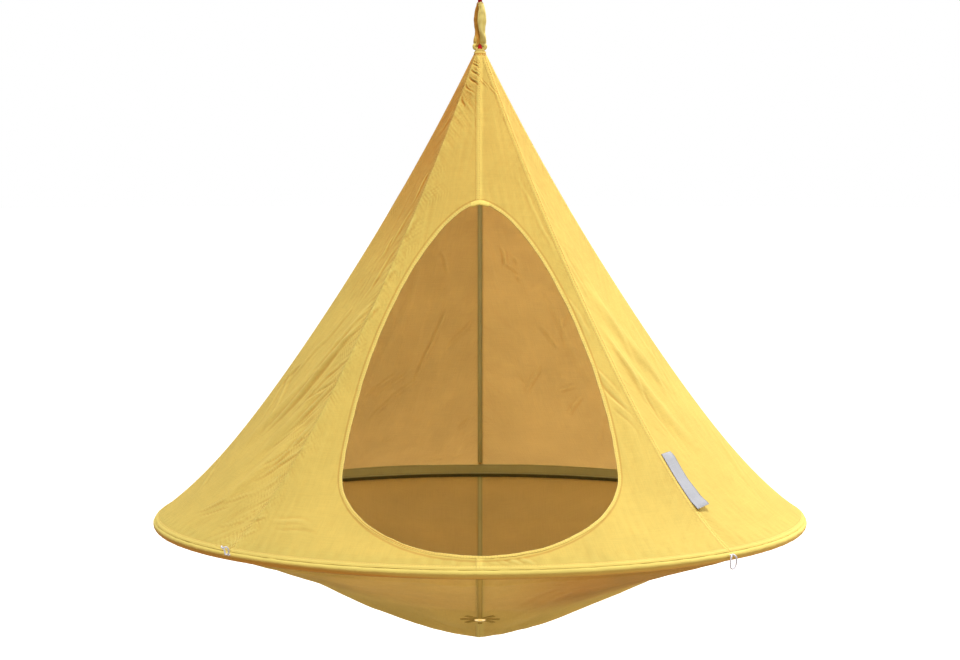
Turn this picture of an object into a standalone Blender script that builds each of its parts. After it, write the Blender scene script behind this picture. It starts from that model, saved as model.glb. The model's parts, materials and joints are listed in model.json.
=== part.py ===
"""Cocoon hammock: a canvas cone on a pole ring, with a cloth bowl as its seat, hung by a short sling.

Metres, +Z up. The origin is the bearing point at the inner top of the sling's eye, and the hammock
hangs below it. The door faces -Y. Heights in the driving sizes are measured from the ring's plane.
"""

import math

import bmesh
import bpy
from mathutils import Vector

# Ring
RING_DIAMETER = 1.50            # over the rim
POLE_RADIUS = 0.0095            # 19 mm tube
POLE_WALL = 0.0015
POLE_PIECES = 8
SPIGOT_LENGTH = 0.080
SLEEVE_MOUTH = 0.050            # the slot at the back where the poles go in
RING_STEPS = 48                 # straight steps round the ring

# Canopy
CANOPY_HEIGHT = 1.065           # ring plane to the tip
TIP_RADIUS = 0.0135
STRAIGHT_SHARE = 0.704          # shares of the cone's spread: straight, bellied, and the rest flares
BELLY_SHARE = 0.220
FLARE_POWER = 12
FLATNESS_POWER = 3              # how late the eight flats of the tip turn round
GORES = 8
GORE_ROWS = 16
ROW_POWER = 1.4                 # rows lie closer together towards the rim
PLAIN_COLUMNS = 6
FOLDED_COLUMNS = 12

# Cloth and webbing
CLOTH = 0.0010
GAP = 0.0003                    # between faces that touch
TAPE_WIDTH = 0.012
TAPE_THICKNESS = 0.0008
TAPE_START = 0.002              # the seam tapes start this far under the tip
TAPE_FOOT = 0.006               # and end this far over the rim band
TAPE_OVER_DOOR = 0.020          # or this far over the door's edge
WEBBING_THICKNESS = 0.0016

# Door, an egg shape seen from the front
DOOR_TOP = 0.731
DOOR_BOTTOM = 0.033
DOOR_WIDEST = 0.165             # height of its widest place
DOOR_WIDTH = 0.584
DOOR_ROUNDNESS = 0.93           # power of the lower half's ellipse, 1 for a true one
DOOR_SHOULDER = 1.42            # powers of the upper half, which narrows to a point
DOOR_POINT = 0.625
DOOR_STEPS = 64
BINDING_WIDTH = 0.008
BINDING_THICKNESS = 0.0024
CUTTER_AHEAD = 0.30             # how far the plug that cuts the door runs out in front
CUTTER_BEHIND = 0.05

# Rim band, the flat band inside the ring
BAND_TOP = 0.024
BAND_THICKNESS = 0.0010
BAND_LEAN = 0.0122              # how far its top edge leans in
BAND_UPRIGHT = 0.3              # share of the sleeve's face over which it stands upright

# Floor
FLOOR_FRONT_SLOPE = 0.30
FLOOR_BACK_SLOPE = 0.80
FLOOR_ROUNDING = 0.020
BOWL_FULLNESS = 1.5             # power of the bowl's section from side to side
BOWL_EDGE_RISE = 6.0            # how fast the bowl falls away from the rim
FLOOR_EDGE_INSET = 0.1          # share of the sleeve's face by which its edge stays inside the ring
POCKET_DEPTH = 0.030            # the slack pocket behind the star
POCKET_PLACE = 0.24
POCKET_SPREAD = 0.12
STAR_PLACE = 0.050              # the floor's sewn centre, behind the ring's centre
STAR_SLOPE = 0.44               # its webbing holds the cloth flat, falling this much to the back
STAR_FLAT = 0.070               # how far out from the eyelet the cloth is flat
STAR_BLEND = 0.154              # how far out the flat has passed into the bowl
STAR_ARMS = 8
STAR_ARM = 0.046
STRAP_WIDTH = 0.012
EYELET_HOLE = 0.0050
EYELET_RADIUS = 0.0130
EYELET_THICKNESS = 0.0010
EYELET_SIDES = 16
SPOKE_SHARES = (0.13, 0.28, 0.46, 0.66, 0.85)   # corners of the floor between the flat and the rim
TAPE_REACH = 0.90               # how much of a spoke's last stretch the inner tape covers
STRAP_REACH = 0.95              # and the outer strap
STRAP_START = 0.12              # how much of the stretch after the flat the strap leaves bare

# Sling and its links
LINK_HEIGHT = 0.011             # tip to the middle of the sling's lower bend
SLING_LENGTH = 0.106            # lower bend to the sleeve's mouth
SLING_SPREAD = 0.013            # half the distance between the strands at the lower bend
SLING_CLOSE = 0.0065            # the same, where they lie together
SLING_CORNER = 0.008
CLOSING = (0.012, 0.042)        # heights over the bend between which the strands come together
TWISTING = (0.014, 0.060)       # heights over the bend between which they turn a quarter
BUNCHING = (0.008, 0.028)       # heights over the bend between which a bunched strand opens flat
STRAND_HALF_WIDTH = 0.008
STRAND_HALF_DEPTH = 0.0043
BEND_RADIUS = 0.005             # the bunched strand in the lower bend
SLEEVE_CLOTH = 0.0008
CORE_HALF_WIDTH = 0.0048
CORE_HALF_DEPTH = 0.0014
BEND_CORE_HALF_WIDTH = 0.0025
EYE_RADIUS = 0.0085
EYE_HEIGHT = 0.0235             # mouth of the sleeve to the bearing point
LOOP_HALF_WIDTH = 0.005
LOOP_THICKNESS = 0.0020
LOOP_END_HALF_WIDTH = 0.0008    # at the lowest point of a leg's round end
STRAND_STEPS = 14
CORNER_STEPS = 4
EYE_LEG_STEPS = 4
EYE_STEPS = 10
LOOP_END_STEPS = 6
LOOP_ARCH_STEPS = 8
CROWN_ROOT_LENGTH = 0.070
CROWN_ROOT_FALLS = (0.008, 0.020, 0.035)    # under the tip, where the root's corners are
CROWN_ROOT_WIDTH_SHARE = 0.8

# Rim cord loops, as places along half a loop: distance out of the rim, height and side
CORD_DIAMETER = 0.0035
HANGING_LOOP = (
    (0.0003, 0.0036, 0.0040), (0.0024, 0.0036, 0.0040), (0.0052, 0.0024, 0.0048),
    (0.0064, -0.0010, 0.0058), (0.0066, -0.0065, 0.0068), (0.0060, -0.0125, 0.0072),
    (0.0054, -0.0190, 0.0066), (0.0050, -0.0240, 0.0046), (0.0048, -0.0262, 0.0018),
)
RAISED_LOOP = (
    (0.0003, 0.0036, 0.0040), (0.0024, 0.0036, 0.0040), (0.0054, 0.0046, 0.0050),
    (0.0093, 0.0068, 0.0062), (0.0138, 0.0094, 0.0070), (0.0186, 0.0112, 0.0068),
    (0.0226, 0.0116, 0.0056), (0.0252, 0.0110, 0.0036), (0.0264, 0.0104, 0.0014),
)

# Label
LABEL_WIDTH = 0.033
LABEL_TOP = 0.198
LABEL_LENGTH = 0.150
LABEL_THICKNESS = 0.0008
LABEL_CURL = 0.006              # how far its lower end lifts off

TUBE_SIDES = 8
SHARP_ANGLE = math.radians(35.0)
FULL_TURN = 2.0 * math.pi
GORE_ANGLE = FULL_TURN / GORES
SIDE_FACTOR = math.cos(math.pi / TUBE_SIDES)
BARELY = 1e-9                   # keeps a seam's points on the gore after it

# Worked out from the sizes above
SLEEVE_OUTER = POLE_RADIUS + (GAP + CLOTH) / SIDE_FACTOR
SLEEVE_FACE = SLEEVE_OUTER * SIDE_FACTOR        # out to its flats, where SLEEVE_OUTER is its corners
RING_RADIUS = 0.5 * RING_DIAMETER - SLEEVE_OUTER
SPIGOT_RADIUS = POLE_RADIUS - (POLE_WALL + GAP) / SIDE_FACTOR
BEND_HEIGHT = CANOPY_HEIGHT + LINK_HEIGHT
MOUTH_HEIGHT = BEND_HEIGHT + SLING_LENGTH
RING_Z = -(MOUTH_HEIGHT + EYE_HEIGHT)
LOOP_HINGE_HEIGHT = BEND_HEIGHT - BEND_RADIUS - LOOP_HALF_WIDTH
SEAM_SETBACK = CLOTH * math.tan(0.5 * GORE_ANGLE) + 0.5 * GAP
INNER_DEPTH = (CLOTH + 2.0 * GAP) / math.cos(0.5 * GORE_ANGLE)

# Main folds of the hanging cloth: a ridge from one place to another, each an angle from the front in
# degrees and a height, then the ridge's half width and how far it stands out
FOLDS = (
    ((-50.0, 0.50), (-79.0, 0.17), 0.026, 0.009),
    ((-50.0, 0.38), (-64.0, 0.16), 0.022, 0.007),
    ((-50.0, 0.26), (-62.0, 0.06), 0.022, 0.007),
    ((48.0, 0.47), (63.0, 0.19), 0.026, 0.010),
    ((52.0, 0.56), (74.0, 0.30), 0.030, 0.008),
)
FOLD_FADE = math.radians(7.0)   # folds die out towards the seams

YELLOW = (0.74, 0.50, 0.09)
OLIVE = (0.30, 0.22, 0.07)
RED = (0.42, 0.02, 0.03)
GREY = (0.58, 0.58, 0.62)
WHITE = (0.80, 0.80, 0.84)
BRASS = (0.72, 0.52, 0.20)
ALUMINIUM = (0.70, 0.71, 0.73)


def finish(name, colour, roughness, metallic=0.0):
    """The material of one piece."""
    material = bpy.data.materials.new(name)
    material.use_nodes = True
    shader = material.node_tree.nodes["Principled BSDF"]
    shader.inputs["Base Color"].default_value = (*colour, 1.0)
    shader.inputs["Roughness"].default_value = roughness
    shader.inputs["Metallic"].default_value = metallic
    material.diffuse_color = (*colour, 1.0)
    return material


def piece(name, mesh, colour, roughness=0.8, metallic=0.0, parent=None):
    """An object on its own material, carried by the empty on its joint's axis."""
    mesh.shade_smooth()
    mesh.set_sharp_from_angle(angle=SHARP_ANGLE)
    mesh.materials.append(finish(name + "_finish", colour, roughness, metallic))
    item = bpy.data.objects.new(name, mesh)
    bpy.context.scene.collection.objects.link(item)
    if parent is not None:
        item.parent = parent
        item.location = -world_place(parent)
    return item


def world_place(item):
    """Where an unturned object stands, through its unturned parents."""
    place = Vector(item.location)
    while item.parent is not None:
        item = item.parent
        place += item.location
    return place


def pivot(name, place, parent=None):
    """An empty on a joint's axis."""
    item = bpy.data.objects.new(name, None)
    bpy.context.scene.collection.objects.link(item)
    item.empty_display_size = 0.03
    item.parent = parent
    item.location = Vector(place) - (world_place(parent) if parent else Vector())
    return item


def ease(value, first, last):
    """A smooth step from 0 to 1 while a value goes from the first to the last."""
    share = min(1.0, max(0.0, (value - first) / (last - first)))
    return share * share * (3.0 - 2.0 * share)


def skin_mesh(name, rows, close_rows=False, close_columns=False, caps=False):
    """A mesh through rows of points; caps closes the first and last row of a closed section."""
    shape = bmesh.new()
    grid = [[shape.verts.new(point) for point in row] for row in rows]
    row_count, column_count = len(grid), len(grid[0])
    for i in range(row_count if close_rows else row_count - 1):
        for j in range(column_count if close_columns else column_count - 1):
            lower, upper = grid[i], grid[(i + 1) % row_count]
            right = (j + 1) % column_count
            shape.faces.new((lower[j], lower[right], upper[right], upper[j]))
    if caps:
        shape.faces.new(list(reversed(grid[0])))
        shape.faces.new(grid[-1])
    mesh = bpy.data.meshes.new(name)
    shape.to_mesh(mesh)
    shape.free()
    return mesh


def turn_out(mesh):
    """Point a closed mesh's faces outwards."""
    shape = bmesh.new()
    shape.from_mesh(mesh)
    bmesh.ops.recalc_face_normals(shape, faces=shape.faces)
    shape.to_mesh(mesh)
    shape.free()


def solid(name, sections, colour, close=False, **looks):
    """A solid lofted through closed sections, with flat ends unless it closes on itself."""
    mesh = skin_mesh(name, sections, close_rows=close, close_columns=True, caps=not close)
    turn_out(mesh)
    return piece(name, mesh, colour, **looks)


def thicken(item, thickness):
    """Give a face its thickness, behind it."""
    wall = item.modifiers.new("Thickness", "SOLIDIFY")
    wall.thickness = thickness
    wall.offset = -1.0
    wall.use_even_offset = True
    return item


def cloth(name, rows, thickness, colour, close_columns=False, **looks):
    """A sheet through rows of points, its thickness behind the face."""
    mesh = skin_mesh(name, rows, close_columns=close_columns)
    return thicken(piece(name, mesh, colour, **looks), thickness)


def hose(name, sections, thickness, colour, **looks):
    """An open-ended tube of cloth or metal through closed sections, thickened inwards."""
    mesh = skin_mesh(name, sections, close_columns=True)
    middle = sum(sections[0], Vector()) / len(sections[0])
    if mesh.polygons[0].normal.dot(mesh.polygons[0].center - middle) < 0.0:
        mesh.flip_normals()
    return thicken(piece(name, mesh, colour, **looks), thickness)


def round_point(angle, radius, height):
    """A point by its angle from the front, its radius and its height over the ring's plane."""
    return Vector((radius * math.sin(angle), -radius * math.cos(angle), RING_Z + height))


def ring_section(angle, radius, sides=TUBE_SIDES):
    """A round section standing across the ring at one of its corners."""
    points = []
    for k in range(sides):
        turn = FULL_TURN * (k + 0.5) / sides
        points.append(round_point(angle, RING_RADIUS + radius * math.cos(turn),
                                  radius * math.sin(turn)))
    return points


def profile_end():
    """Radius and height where the cone's cloth lies against the rim, tangent to the sleeve."""
    reach = SLEEVE_OUTER + CLOTH + GAP
    radius, height = RING_RADIUS, reach
    for _ in range(8):
        spread = radius - TIP_RADIUS
        flare_share = 1.0 - STRAIGHT_SHARE - BELLY_SHARE
        out = spread * (STRAIGHT_SHARE + 2.0 * BELLY_SHARE + FLARE_POWER * flare_share)
        angle = math.atan2(out, CANOPY_HEIGHT - height)
        radius = RING_RADIUS + reach * math.cos(angle)
        height = reach * math.sin(angle)
    return radius, height


RIM_CLOTH_RADIUS, RIM_CLOTH_HEIGHT = profile_end()


def seam_radius(share):
    """Radius of a canopy seam, by the share of the way down from the tip to the rim."""
    spread = RIM_CLOTH_RADIUS - TIP_RADIUS
    flare_share = 1.0 - STRAIGHT_SHARE - BELLY_SHARE
    return TIP_RADIUS + spread * (STRAIGHT_SHARE * share + BELLY_SHARE * share ** 2
                                  + flare_share * share ** FLARE_POWER)


def share_at(height):
    """The share of the way down at a height."""
    return (CANOPY_HEIGHT - height) / (CANOPY_HEIGHT - RIM_CLOTH_HEIGHT)


def height_at(share):
    return CANOPY_HEIGHT - share * (CANOPY_HEIGHT - RIM_CLOTH_HEIGHT)


def seam_normal(angle, share):
    """Outward normal of a seam line in its upright plane."""
    step = 0.001
    fall = step * (CANOPY_HEIGHT - RIM_CLOTH_HEIGHT)
    rise = seam_radius(share) - seam_radius(share - step)
    slope = math.atan2(rise, fall)
    return Vector((math.cos(slope) * math.sin(angle), -math.cos(slope) * math.cos(angle),
                   math.sin(slope)))


def fold_lift(angle, share):
    """How far the folds stand out of the cloth."""
    height = height_at(share)
    lift = 0.0
    for (angle_1, height_1), (angle_2, height_2), half_width, stand in FOLDS:
        along = (height_1 - height) / (height_1 - height_2)
        if not 0.0 < along < 1.0:
            continue
        ridge = math.radians(angle_1 + along * (angle_2 - angle_1))
        aside = seam_radius(share) * (angle - ridge) / half_width
        lift += stand * math.sin(math.pi * along) * math.exp(-aside * aside)
    near_seam = abs((angle + 0.5 * GORE_ANGLE) % GORE_ANGLE - 0.5 * GORE_ANGLE)
    return lift * min(1.0, near_seam / FOLD_FADE)


def canopy_point(angle, share):
    """The canopy's outer face: eight flats near the tip, round at the rim, with its folds."""
    off_middle = (angle % GORE_ANGLE) - 0.5 * GORE_ANGLE
    flat = math.cos(0.5 * GORE_ANGLE) / math.cos(off_middle)
    flatness = 1.0 - share ** FLATNESS_POWER
    radius = seam_radius(share) * (1.0 + flatness * (flat - 1.0))
    point = round_point(angle, radius, height_at(share))
    return point + fold_lift(angle, share) * seam_normal(angle, share)


def canopy_normal(angle, share):
    """Outward normal of the canopy's face."""
    step = 0.002
    across = canopy_point(angle + step, share) - canopy_point(angle - step, share)
    down = canopy_point(angle, share + step) - canopy_point(angle, share - step)
    return down.cross(across).normalized()


def row_shares():
    """Rows of the canopy, closer together where it flares."""
    return [1.0 - (1.0 - i / GORE_ROWS) ** ROW_POWER for i in range(GORE_ROWS + 1)]


def gore_columns(index):
    """Folded gores have more columns: the two side ones in front."""
    return FOLDED_COLUMNS if index in (1, GORES - 2) else PLAIN_COLUMNS


def gore_name(index):
    side = "right" if index < GORES // 2 else "left"
    place = index if index < GORES // 2 else GORES - 1 - index
    return ("front", "front_side", "back_side", "back")[place] + "_" + side


def gore_grid(index):
    """Points of one gore, set back from its seams so that neighbours don't touch."""
    columns = gore_columns(index)
    start = index * GORE_ANGLE
    rows = []
    for share in row_shares():
        row = [canopy_point(start + BARELY + (GORE_ANGLE - 2.0 * BARELY) * j / columns, share)
               for j in range(columns + 1)]
        first, last = (row[1] - row[0]).normalized(), (row[-2] - row[-1]).normalized()
        row[0] += first * SEAM_SETBACK
        row[-1] += last * SEAM_SETBACK
        rows.append(row)
    return rows


def build_canopy(parent):
    """Eight gores, the two front ones cut by the door."""
    cutter = door_cutter()
    for index in range(GORES):
        rows = gore_grid(index)
        gore = cloth("gore_" + gore_name(index), rows[::-1], CLOTH, YELLOW, parent=parent)
        if index in (0, GORES - 1):
            cut = gore.modifiers.new("Door", "BOOLEAN")
            cut.operation = "DIFFERENCE"
            cut.object = cutter
            cut.solver = "EXACT"


def laid_point(angle, share):
    """A point of the canopy on the straight between the rows above and below it."""
    above = max(s for s in row_shares() if s <= share + BARELY)
    below = min([s for s in row_shares() if s > above] or [1.0])
    part = (share - above) / (below - above) if below > above else 0.0
    return canopy_point(angle, above).lerp(canopy_point(angle, below), part)


def tape_rows(index, first, last, half_width, depth):
    """Points of a flat tape along the inside of a seam, folded with the two gores beside it."""
    angle = index * GORE_ANGLE
    shares = [first] + [s for s in row_shares() if first < s < last] + [last]
    rows = []
    for share in shares:
        middle = laid_point(angle + BARELY, share)
        sides = []
        for way, gore in ((-1.0, (index - 1) % GORES), (1.0, index)):
            columns = gore_columns(gore)
            beside = laid_point(angle + way * GORE_ANGLE / columns, share) - middle
            corner = (depth + TAPE_THICKNESS) * math.tan(0.5 * GORE_ANGLE) + GAP
            reach = min(half_width, 0.5 * beside.length * columns - corner)
            sides.append(middle + beside.normalized() * reach)
        inward = -seam_normal(angle, share) * depth
        rows.append([sides[0] + inward, middle + inward, sides[1] + inward])
    return rows


def build_seam_tapes(parent):
    """A tape inside each seam, from under the tip to the rim band, and above the door in front."""
    last = share_at(BAND_TOP + TAPE_FOOT)
    door_last = share_at(DOOR_TOP + TAPE_OVER_DOOR)
    for index in range(GORES):
        rows = tape_rows(index, share_at(CANOPY_HEIGHT - TAPE_START),
                         door_last if index == 0 else last, 0.5 * TAPE_WIDTH, INNER_DEPTH)
        cloth("seam_tape_%d" % (45 * index), rows[::-1], TAPE_THICKNESS, OLIVE, parent=parent)


def door_outline(steps):
    """The door's edge as pairs of distance from the middle and height, evenly spaced."""
    fine = []
    half, lower, upper = 0.5 * DOOR_WIDTH, DOOR_WIDEST - DOOR_BOTTOM, DOOR_TOP - DOOR_WIDEST
    count = 6 * steps
    for k in range(count + 1):
        turn = 0.5 * math.pi * k / count
        fine.append((half * math.sin(turn) ** DOOR_ROUNDNESS,
                     DOOR_WIDEST - lower * max(0.0, math.cos(turn)) ** DOOR_ROUNDNESS))
    for k in range(1, count + 1):
        rise = math.sin(0.5 * math.pi * k / count)
        narrowing = max(0.0, 1.0 - rise ** DOOR_SHOULDER) ** DOOR_POINT
        fine.append((half * narrowing, DOOR_WIDEST + upper * rise))
    fine += [(-x, z) for x, z in reversed(fine[1:-1])]
    lengths = [0.0]
    for k in range(len(fine)):
        (x_1, z_1), (x_2, z_2) = fine[k], fine[(k + 1) % len(fine)]
        lengths.append(lengths[-1] + math.hypot(x_2 - x_1, z_2 - z_1))
    points, k = [], 0
    for step in range(steps):
        wanted = lengths[-1] * step / steps
        while lengths[k + 1] < wanted:
            k += 1
        part = (wanted - lengths[k]) / (lengths[k + 1] - lengths[k])
        (x_1, z_1), (x_2, z_2) = fine[k], fine[(k + 1) % len(fine)]
        points.append((x_1 + part * (x_2 - x_1), z_1 + part * (z_2 - z_1)))
    return points


def door_frame():
    """Each point of the door's edge on the cloth, with the normal and the way out along the cloth."""
    places = []
    for x, height in door_outline(DOOR_STEPS):
        share = share_at(height)
        angle = 0.0
        for _ in range(40):
            radius = math.hypot(*canopy_point(angle, share).xy)
            angle = math.asin(x / radius)
        places.append((canopy_point(angle, share), canopy_normal(angle, share)))
    frame = []
    for k, (point, normal) in enumerate(places):
        along = places[(k + 1) % len(places)][0] - places[k - 1][0]
        out = along.cross(normal).normalized()
        frame.append((point, normal, out))
    return frame


def door_cutter():
    """A plug that cuts the cloth square, just outside the binding."""
    reach = BINDING_WIDTH + GAP
    near = 4.0 * CLOTH
    ahead, behind = Vector((0.0, -CUTTER_AHEAD, 0.0)), Vector((0.0, CUTTER_BEHIND, 0.0))
    rings = [[], [], [], []]
    for point, normal, out in door_frame():
        edge = point + out * reach
        rings[0].append(edge + normal * near + ahead)
        rings[1].append(edge + normal * near)
        rings[2].append(edge - normal * near)
        rings[3].append(edge - normal * near + behind)
    mesh = skin_mesh("door_cutter", rings, close_columns=True, caps=True)
    turn_out(mesh)
    cutter = piece("door_cutter", mesh, GREY)
    cutter.hide_render = True
    cutter.display_type = "WIRE"
    return cutter


def build_binding(parent):
    """The bound edge of the door, as thick as the folded tape over the cloth."""
    sections = []
    front = 0.5 * (BINDING_THICKNESS - CLOTH)
    for point, normal, out in door_frame():
        face, back = normal * front, -normal * (BINDING_THICKNESS - front)
        wide = out * BINDING_WIDTH
        sections.append([point + face, point + wide + face, point + wide + back, point + back])
    solid("door_binding", sections, YELLOW, close=True, parent=parent)


def ring_angles(first, last):
    """Corners of the ring from one angle to another, in ring steps."""
    count = round((last - first) * RING_STEPS / FULL_TURN)
    return [first + (last - first) * k / count for k in range(count + 1)]


def moved_along(section, towards, distance):
    """A section shifted along the straight towards the next one, for a piece that ends there."""
    step = sum((b - a for a, b in zip(section, towards)), Vector()) / len(section)
    return [point + step.normalized() * distance for point in section]


def build_ring(parent):
    """Pole tubes, the spigots in their joints, and the sleeve with its slot at the back."""
    span = FULL_TURN / POLE_PIECES
    for index in range(POLE_PIECES):
        first = index * span
        rows = [ring_section(a, POLE_RADIUS) for a in ring_angles(first, first + span)]
        rows[0] = moved_along(rows[0], rows[1], 0.5 * GAP)
        rows[-1] = moved_along(rows[-1], rows[-2], 0.5 * GAP)
        hose("ring_pole_%d" % (index + 1), rows, POLE_WALL, ALUMINIUM, roughness=0.35,
             metallic=1.0, parent=parent)
        sections = [ring_section(first + k * FULL_TURN / RING_STEPS, SPIGOT_RADIUS)
                    for k in (-1, 0, 1)]
        half = 0.5 * SPIGOT_LENGTH
        ends = [moved_along(sections[1], sections[k], half) for k in (0, 2)]
        solid("pole_spigot_%d" % (index + 1), [ends[0], sections[1], ends[1]], ALUMINIUM,
              roughness=0.4, metallic=1.0, parent=parent)
    back = math.pi
    rows = [ring_section(a, SLEEVE_OUTER) for a in ring_angles(back, back + FULL_TURN)]
    rows[0] = moved_along(rows[0], rows[1], 0.5 * SLEEVE_MOUTH)
    rows[-1] = moved_along(rows[-1], rows[-2], 0.5 * SLEEVE_MOUTH)
    hose("ring_sleeve", rows, CLOTH, YELLOW, parent=parent)


def build_rim_band(parent):
    """The band inside the ring: upright against the sleeve, then leaning in over it."""
    face = RING_RADIUS - SLEEVE_FACE - GAP
    rows = []
    for radius, height in ((face, -SLEEVE_FACE), (face, BAND_UPRIGHT * SLEEVE_FACE),
                           (face - BAND_LEAN, BAND_TOP)):
        rows.append([round_point(FULL_TURN * k / RING_STEPS, radius, height)
                     for k in range(RING_STEPS)])
    cloth("rim_band", rows, BAND_THICKNESS, OLIVE, close_columns=True, parent=parent)


def floor_edge():
    """Radius and height of the floor's edge, under the sleeve."""
    return RING_RADIUS - FLOOR_EDGE_INSET * SLEEVE_FACE, -(SLEEVE_FACE + CLOTH + GAP)


def bowl_depth(x, y):
    """Depth of the cloth bowl under its edge."""
    edge = floor_edge()[0]
    reach_y = min(1.0, abs(y) / edge)
    half = edge * math.sqrt(max(1.0 - reach_y ** 2, BARELY))
    front = FLOOR_FRONT_SLOPE * (y + edge)
    back = FLOOR_BACK_SLOPE * (edge - y)
    middle = 0.5 * (front + back - math.hypot(front - back, 2.0 * FLOOR_ROUNDING))
    middle += POCKET_DEPTH * math.exp(-((y - POCKET_PLACE) / POCKET_SPREAD) ** 2)
    middle = max(0.0, middle)
    aside = min(1.0, abs(x) / half)
    from_rim = 1.0 - math.hypot(x, y) / edge
    return middle * (1.0 - aside ** BOWL_FULLNESS) * min(1.0, BOWL_EDGE_RISE * from_rim)


def flat_height(y):
    """Height of the flat patch round the floor's star."""
    return floor_edge()[1] - bowl_depth(0.0, STAR_PLACE) - STAR_SLOPE * (y - STAR_PLACE)


def floor_height(x, y):
    """Height of the floor's under face: flat at the star, then the bowl."""
    flat = flat_height(y)
    bowl = floor_edge()[1] - bowl_depth(x, y)
    share = ease(math.hypot(x, y - STAR_PLACE), STAR_FLAT, STAR_BLEND)
    return flat + share * (bowl - flat)


def floor_spoke(angle):
    """Points of the floor's under face from the eyelet out to the rim, along one spoke."""
    edge = floor_edge()[0]
    rim = Vector((edge * math.sin(angle), -edge * math.cos(angle)))
    centre = Vector((0.0, STAR_PLACE))
    way = (rim - centre).normalized()
    flat_end = centre + way * STAR_FLAT
    places = [centre + way * EYELET_HOLE, flat_end]
    places += [flat_end.lerp(rim, share) for share in SPOKE_SHARES]
    points = [Vector((p.x, p.y, RING_Z + floor_height(p.x, p.y))) for p in places]
    points.append(round_point(angle, edge, floor_edge()[1]))
    return points


def along_spoke(spoke, place):
    """A point of a spoke between its corners."""
    whole = min(int(place), len(spoke) - 2)
    return spoke[whole].lerp(spoke[whole + 1], place - whole)


def seam_rows(spokes, index, places, half_width, lift):
    """Rows of a tape along a spoke of the floor, lying on the two faces beside it."""
    rows = []
    for place in places:
        middle = along_spoke(spokes[index], place)
        row = [middle + lift]
        for way, at in ((-1, 0), (1, 2)):
            flatwise = along_spoke(spokes[(index + way) % RING_STEPS], place) - middle
            row.insert(at, middle + flatwise * (half_width / abs(flatwise.x)) + lift)
        rows.append(row)
    return rows


def build_floor(parent):
    """Two halves of the bowl, the tape inside along their seam, and the strap outside in front."""
    front, back = 0, RING_STEPS // 2
    spokes = [floor_spoke(FULL_TURN * k / RING_STEPS) for k in range(RING_STEPS)]
    for name, first, way in (("right", front, 1.0), ("left", back, -1.0)):
        rows = [[point.copy() for point in spokes[(first + k) % RING_STEPS]]
                for k in range(back + 1)]
        aside = Vector((way * GAP, 0.0, 0.0))
        for point in rows[0] + rows[-1]:
            point += aside
        cloth("floor_" + name, rows[::-1], CLOTH, YELLOW, parent=parent)
    corners = list(range(2, len(spokes[0]) - 1))
    steepest = math.hypot(1.0, max(STAR_SLOPE, FLOOR_BACK_SLOPE))
    up = Vector((0.0, 0.0, CLOTH * steepest + GAP))
    for name, index in (("front", front), ("back", back)):
        rows = seam_rows(spokes, index, [1] + corners + [corners[-1] + TAPE_REACH],
                         0.5 * TAPE_WIDTH, up)
        cloth("floor_seam_tape_" + name, rows, TAPE_THICKNESS, OLIVE, parent=parent)
    down = Vector((0.0, 0.0, -GAP - WEBBING_THICKNESS * math.hypot(1.0, STAR_SLOPE)))
    rows = seam_rows(spokes, front, [1 + STRAP_START] + corners + [corners[-1] + STRAP_REACH],
                     0.5 * STRAP_WIDTH, down)
    cloth("floor_strap", rows, WEBBING_THICKNESS, OLIVE, parent=parent)


def star_point(radius, angle, drop):
    """A point under the floor's flat patch."""
    y = STAR_PLACE + radius * math.cos(angle)
    return Vector((radius * math.sin(angle), y, RING_Z + flat_height(y) - drop))


def build_star(parent):
    """The star's webbing arms, sewn flat under the floor's centre."""
    half_width = 0.5 * STRAP_WIDTH
    half_step = math.pi / STAR_ARMS
    corner = half_width / math.sin(half_step)
    arm_turn = math.atan2(half_width, STAR_ARM)
    shape = bmesh.new()
    hole, corners, ends = [], [], []
    for k in range(STAR_ARMS):
        angle = FULL_TURN * k / STAR_ARMS
        hole.append(shape.verts.new(star_point(EYELET_HOLE + GAP, angle + half_step, GAP)))
        corners.append(shape.verts.new(star_point(corner, angle + half_step, GAP)))
        ends.append([shape.verts.new(star_point(math.hypot(half_width, STAR_ARM), angle + turn, GAP))
                     for turn in (-arm_turn, arm_turn)])
    for k in range(STAR_ARMS):
        before = k - 1
        shape.faces.new((hole[before], hole[k], corners[k], corners[before]))
        shape.faces.new((corners[before], corners[k], ends[k][1], ends[k][0]))
    mesh = bpy.data.meshes.new("floor_star")
    shape.to_mesh(mesh)
    shape.free()
    thicken(piece("floor_star", mesh, OLIVE, parent=parent), WEBBING_THICKNESS)


def eyelet_ring(name, corners, parent):
    """A turned brass ring under the star, from pairs of radius and drop."""
    sections = [[star_point(radius, FULL_TURN * k / EYELET_SIDES, drop)
                 for k in range(EYELET_SIDES)] for radius, drop in corners]
    solid(name, sections, BRASS, close=True, roughness=0.3, metallic=1.0, parent=parent)


def build_eyelet(parent):
    """The eyelet through the star: a flanged barrel from below and a washer inside."""
    under = 2.0 * GAP + WEBBING_THICKNESS * math.hypot(1.0, STAR_SLOPE)
    top = -(CLOTH * math.hypot(1.0, STAR_SLOPE) + GAP)
    outer = EYELET_HOLE * SIDE_FACTOR - GAP
    inner = outer - EYELET_THICKNESS
    eyelet_ring("eyelet_barrel", (
        (EYELET_RADIUS, under), (EYELET_RADIUS, under + EYELET_THICKNESS),
        (inner, under + EYELET_THICKNESS), (inner, top), (outer, top), (outer, under)), parent)
    eyelet_ring("eyelet_washer", (
        (EYELET_RADIUS, top), (EYELET_RADIUS, top - EYELET_THICKNESS),
        (outer + GAP, top - EYELET_THICKNESS), (outer + GAP, top)), parent)


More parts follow.
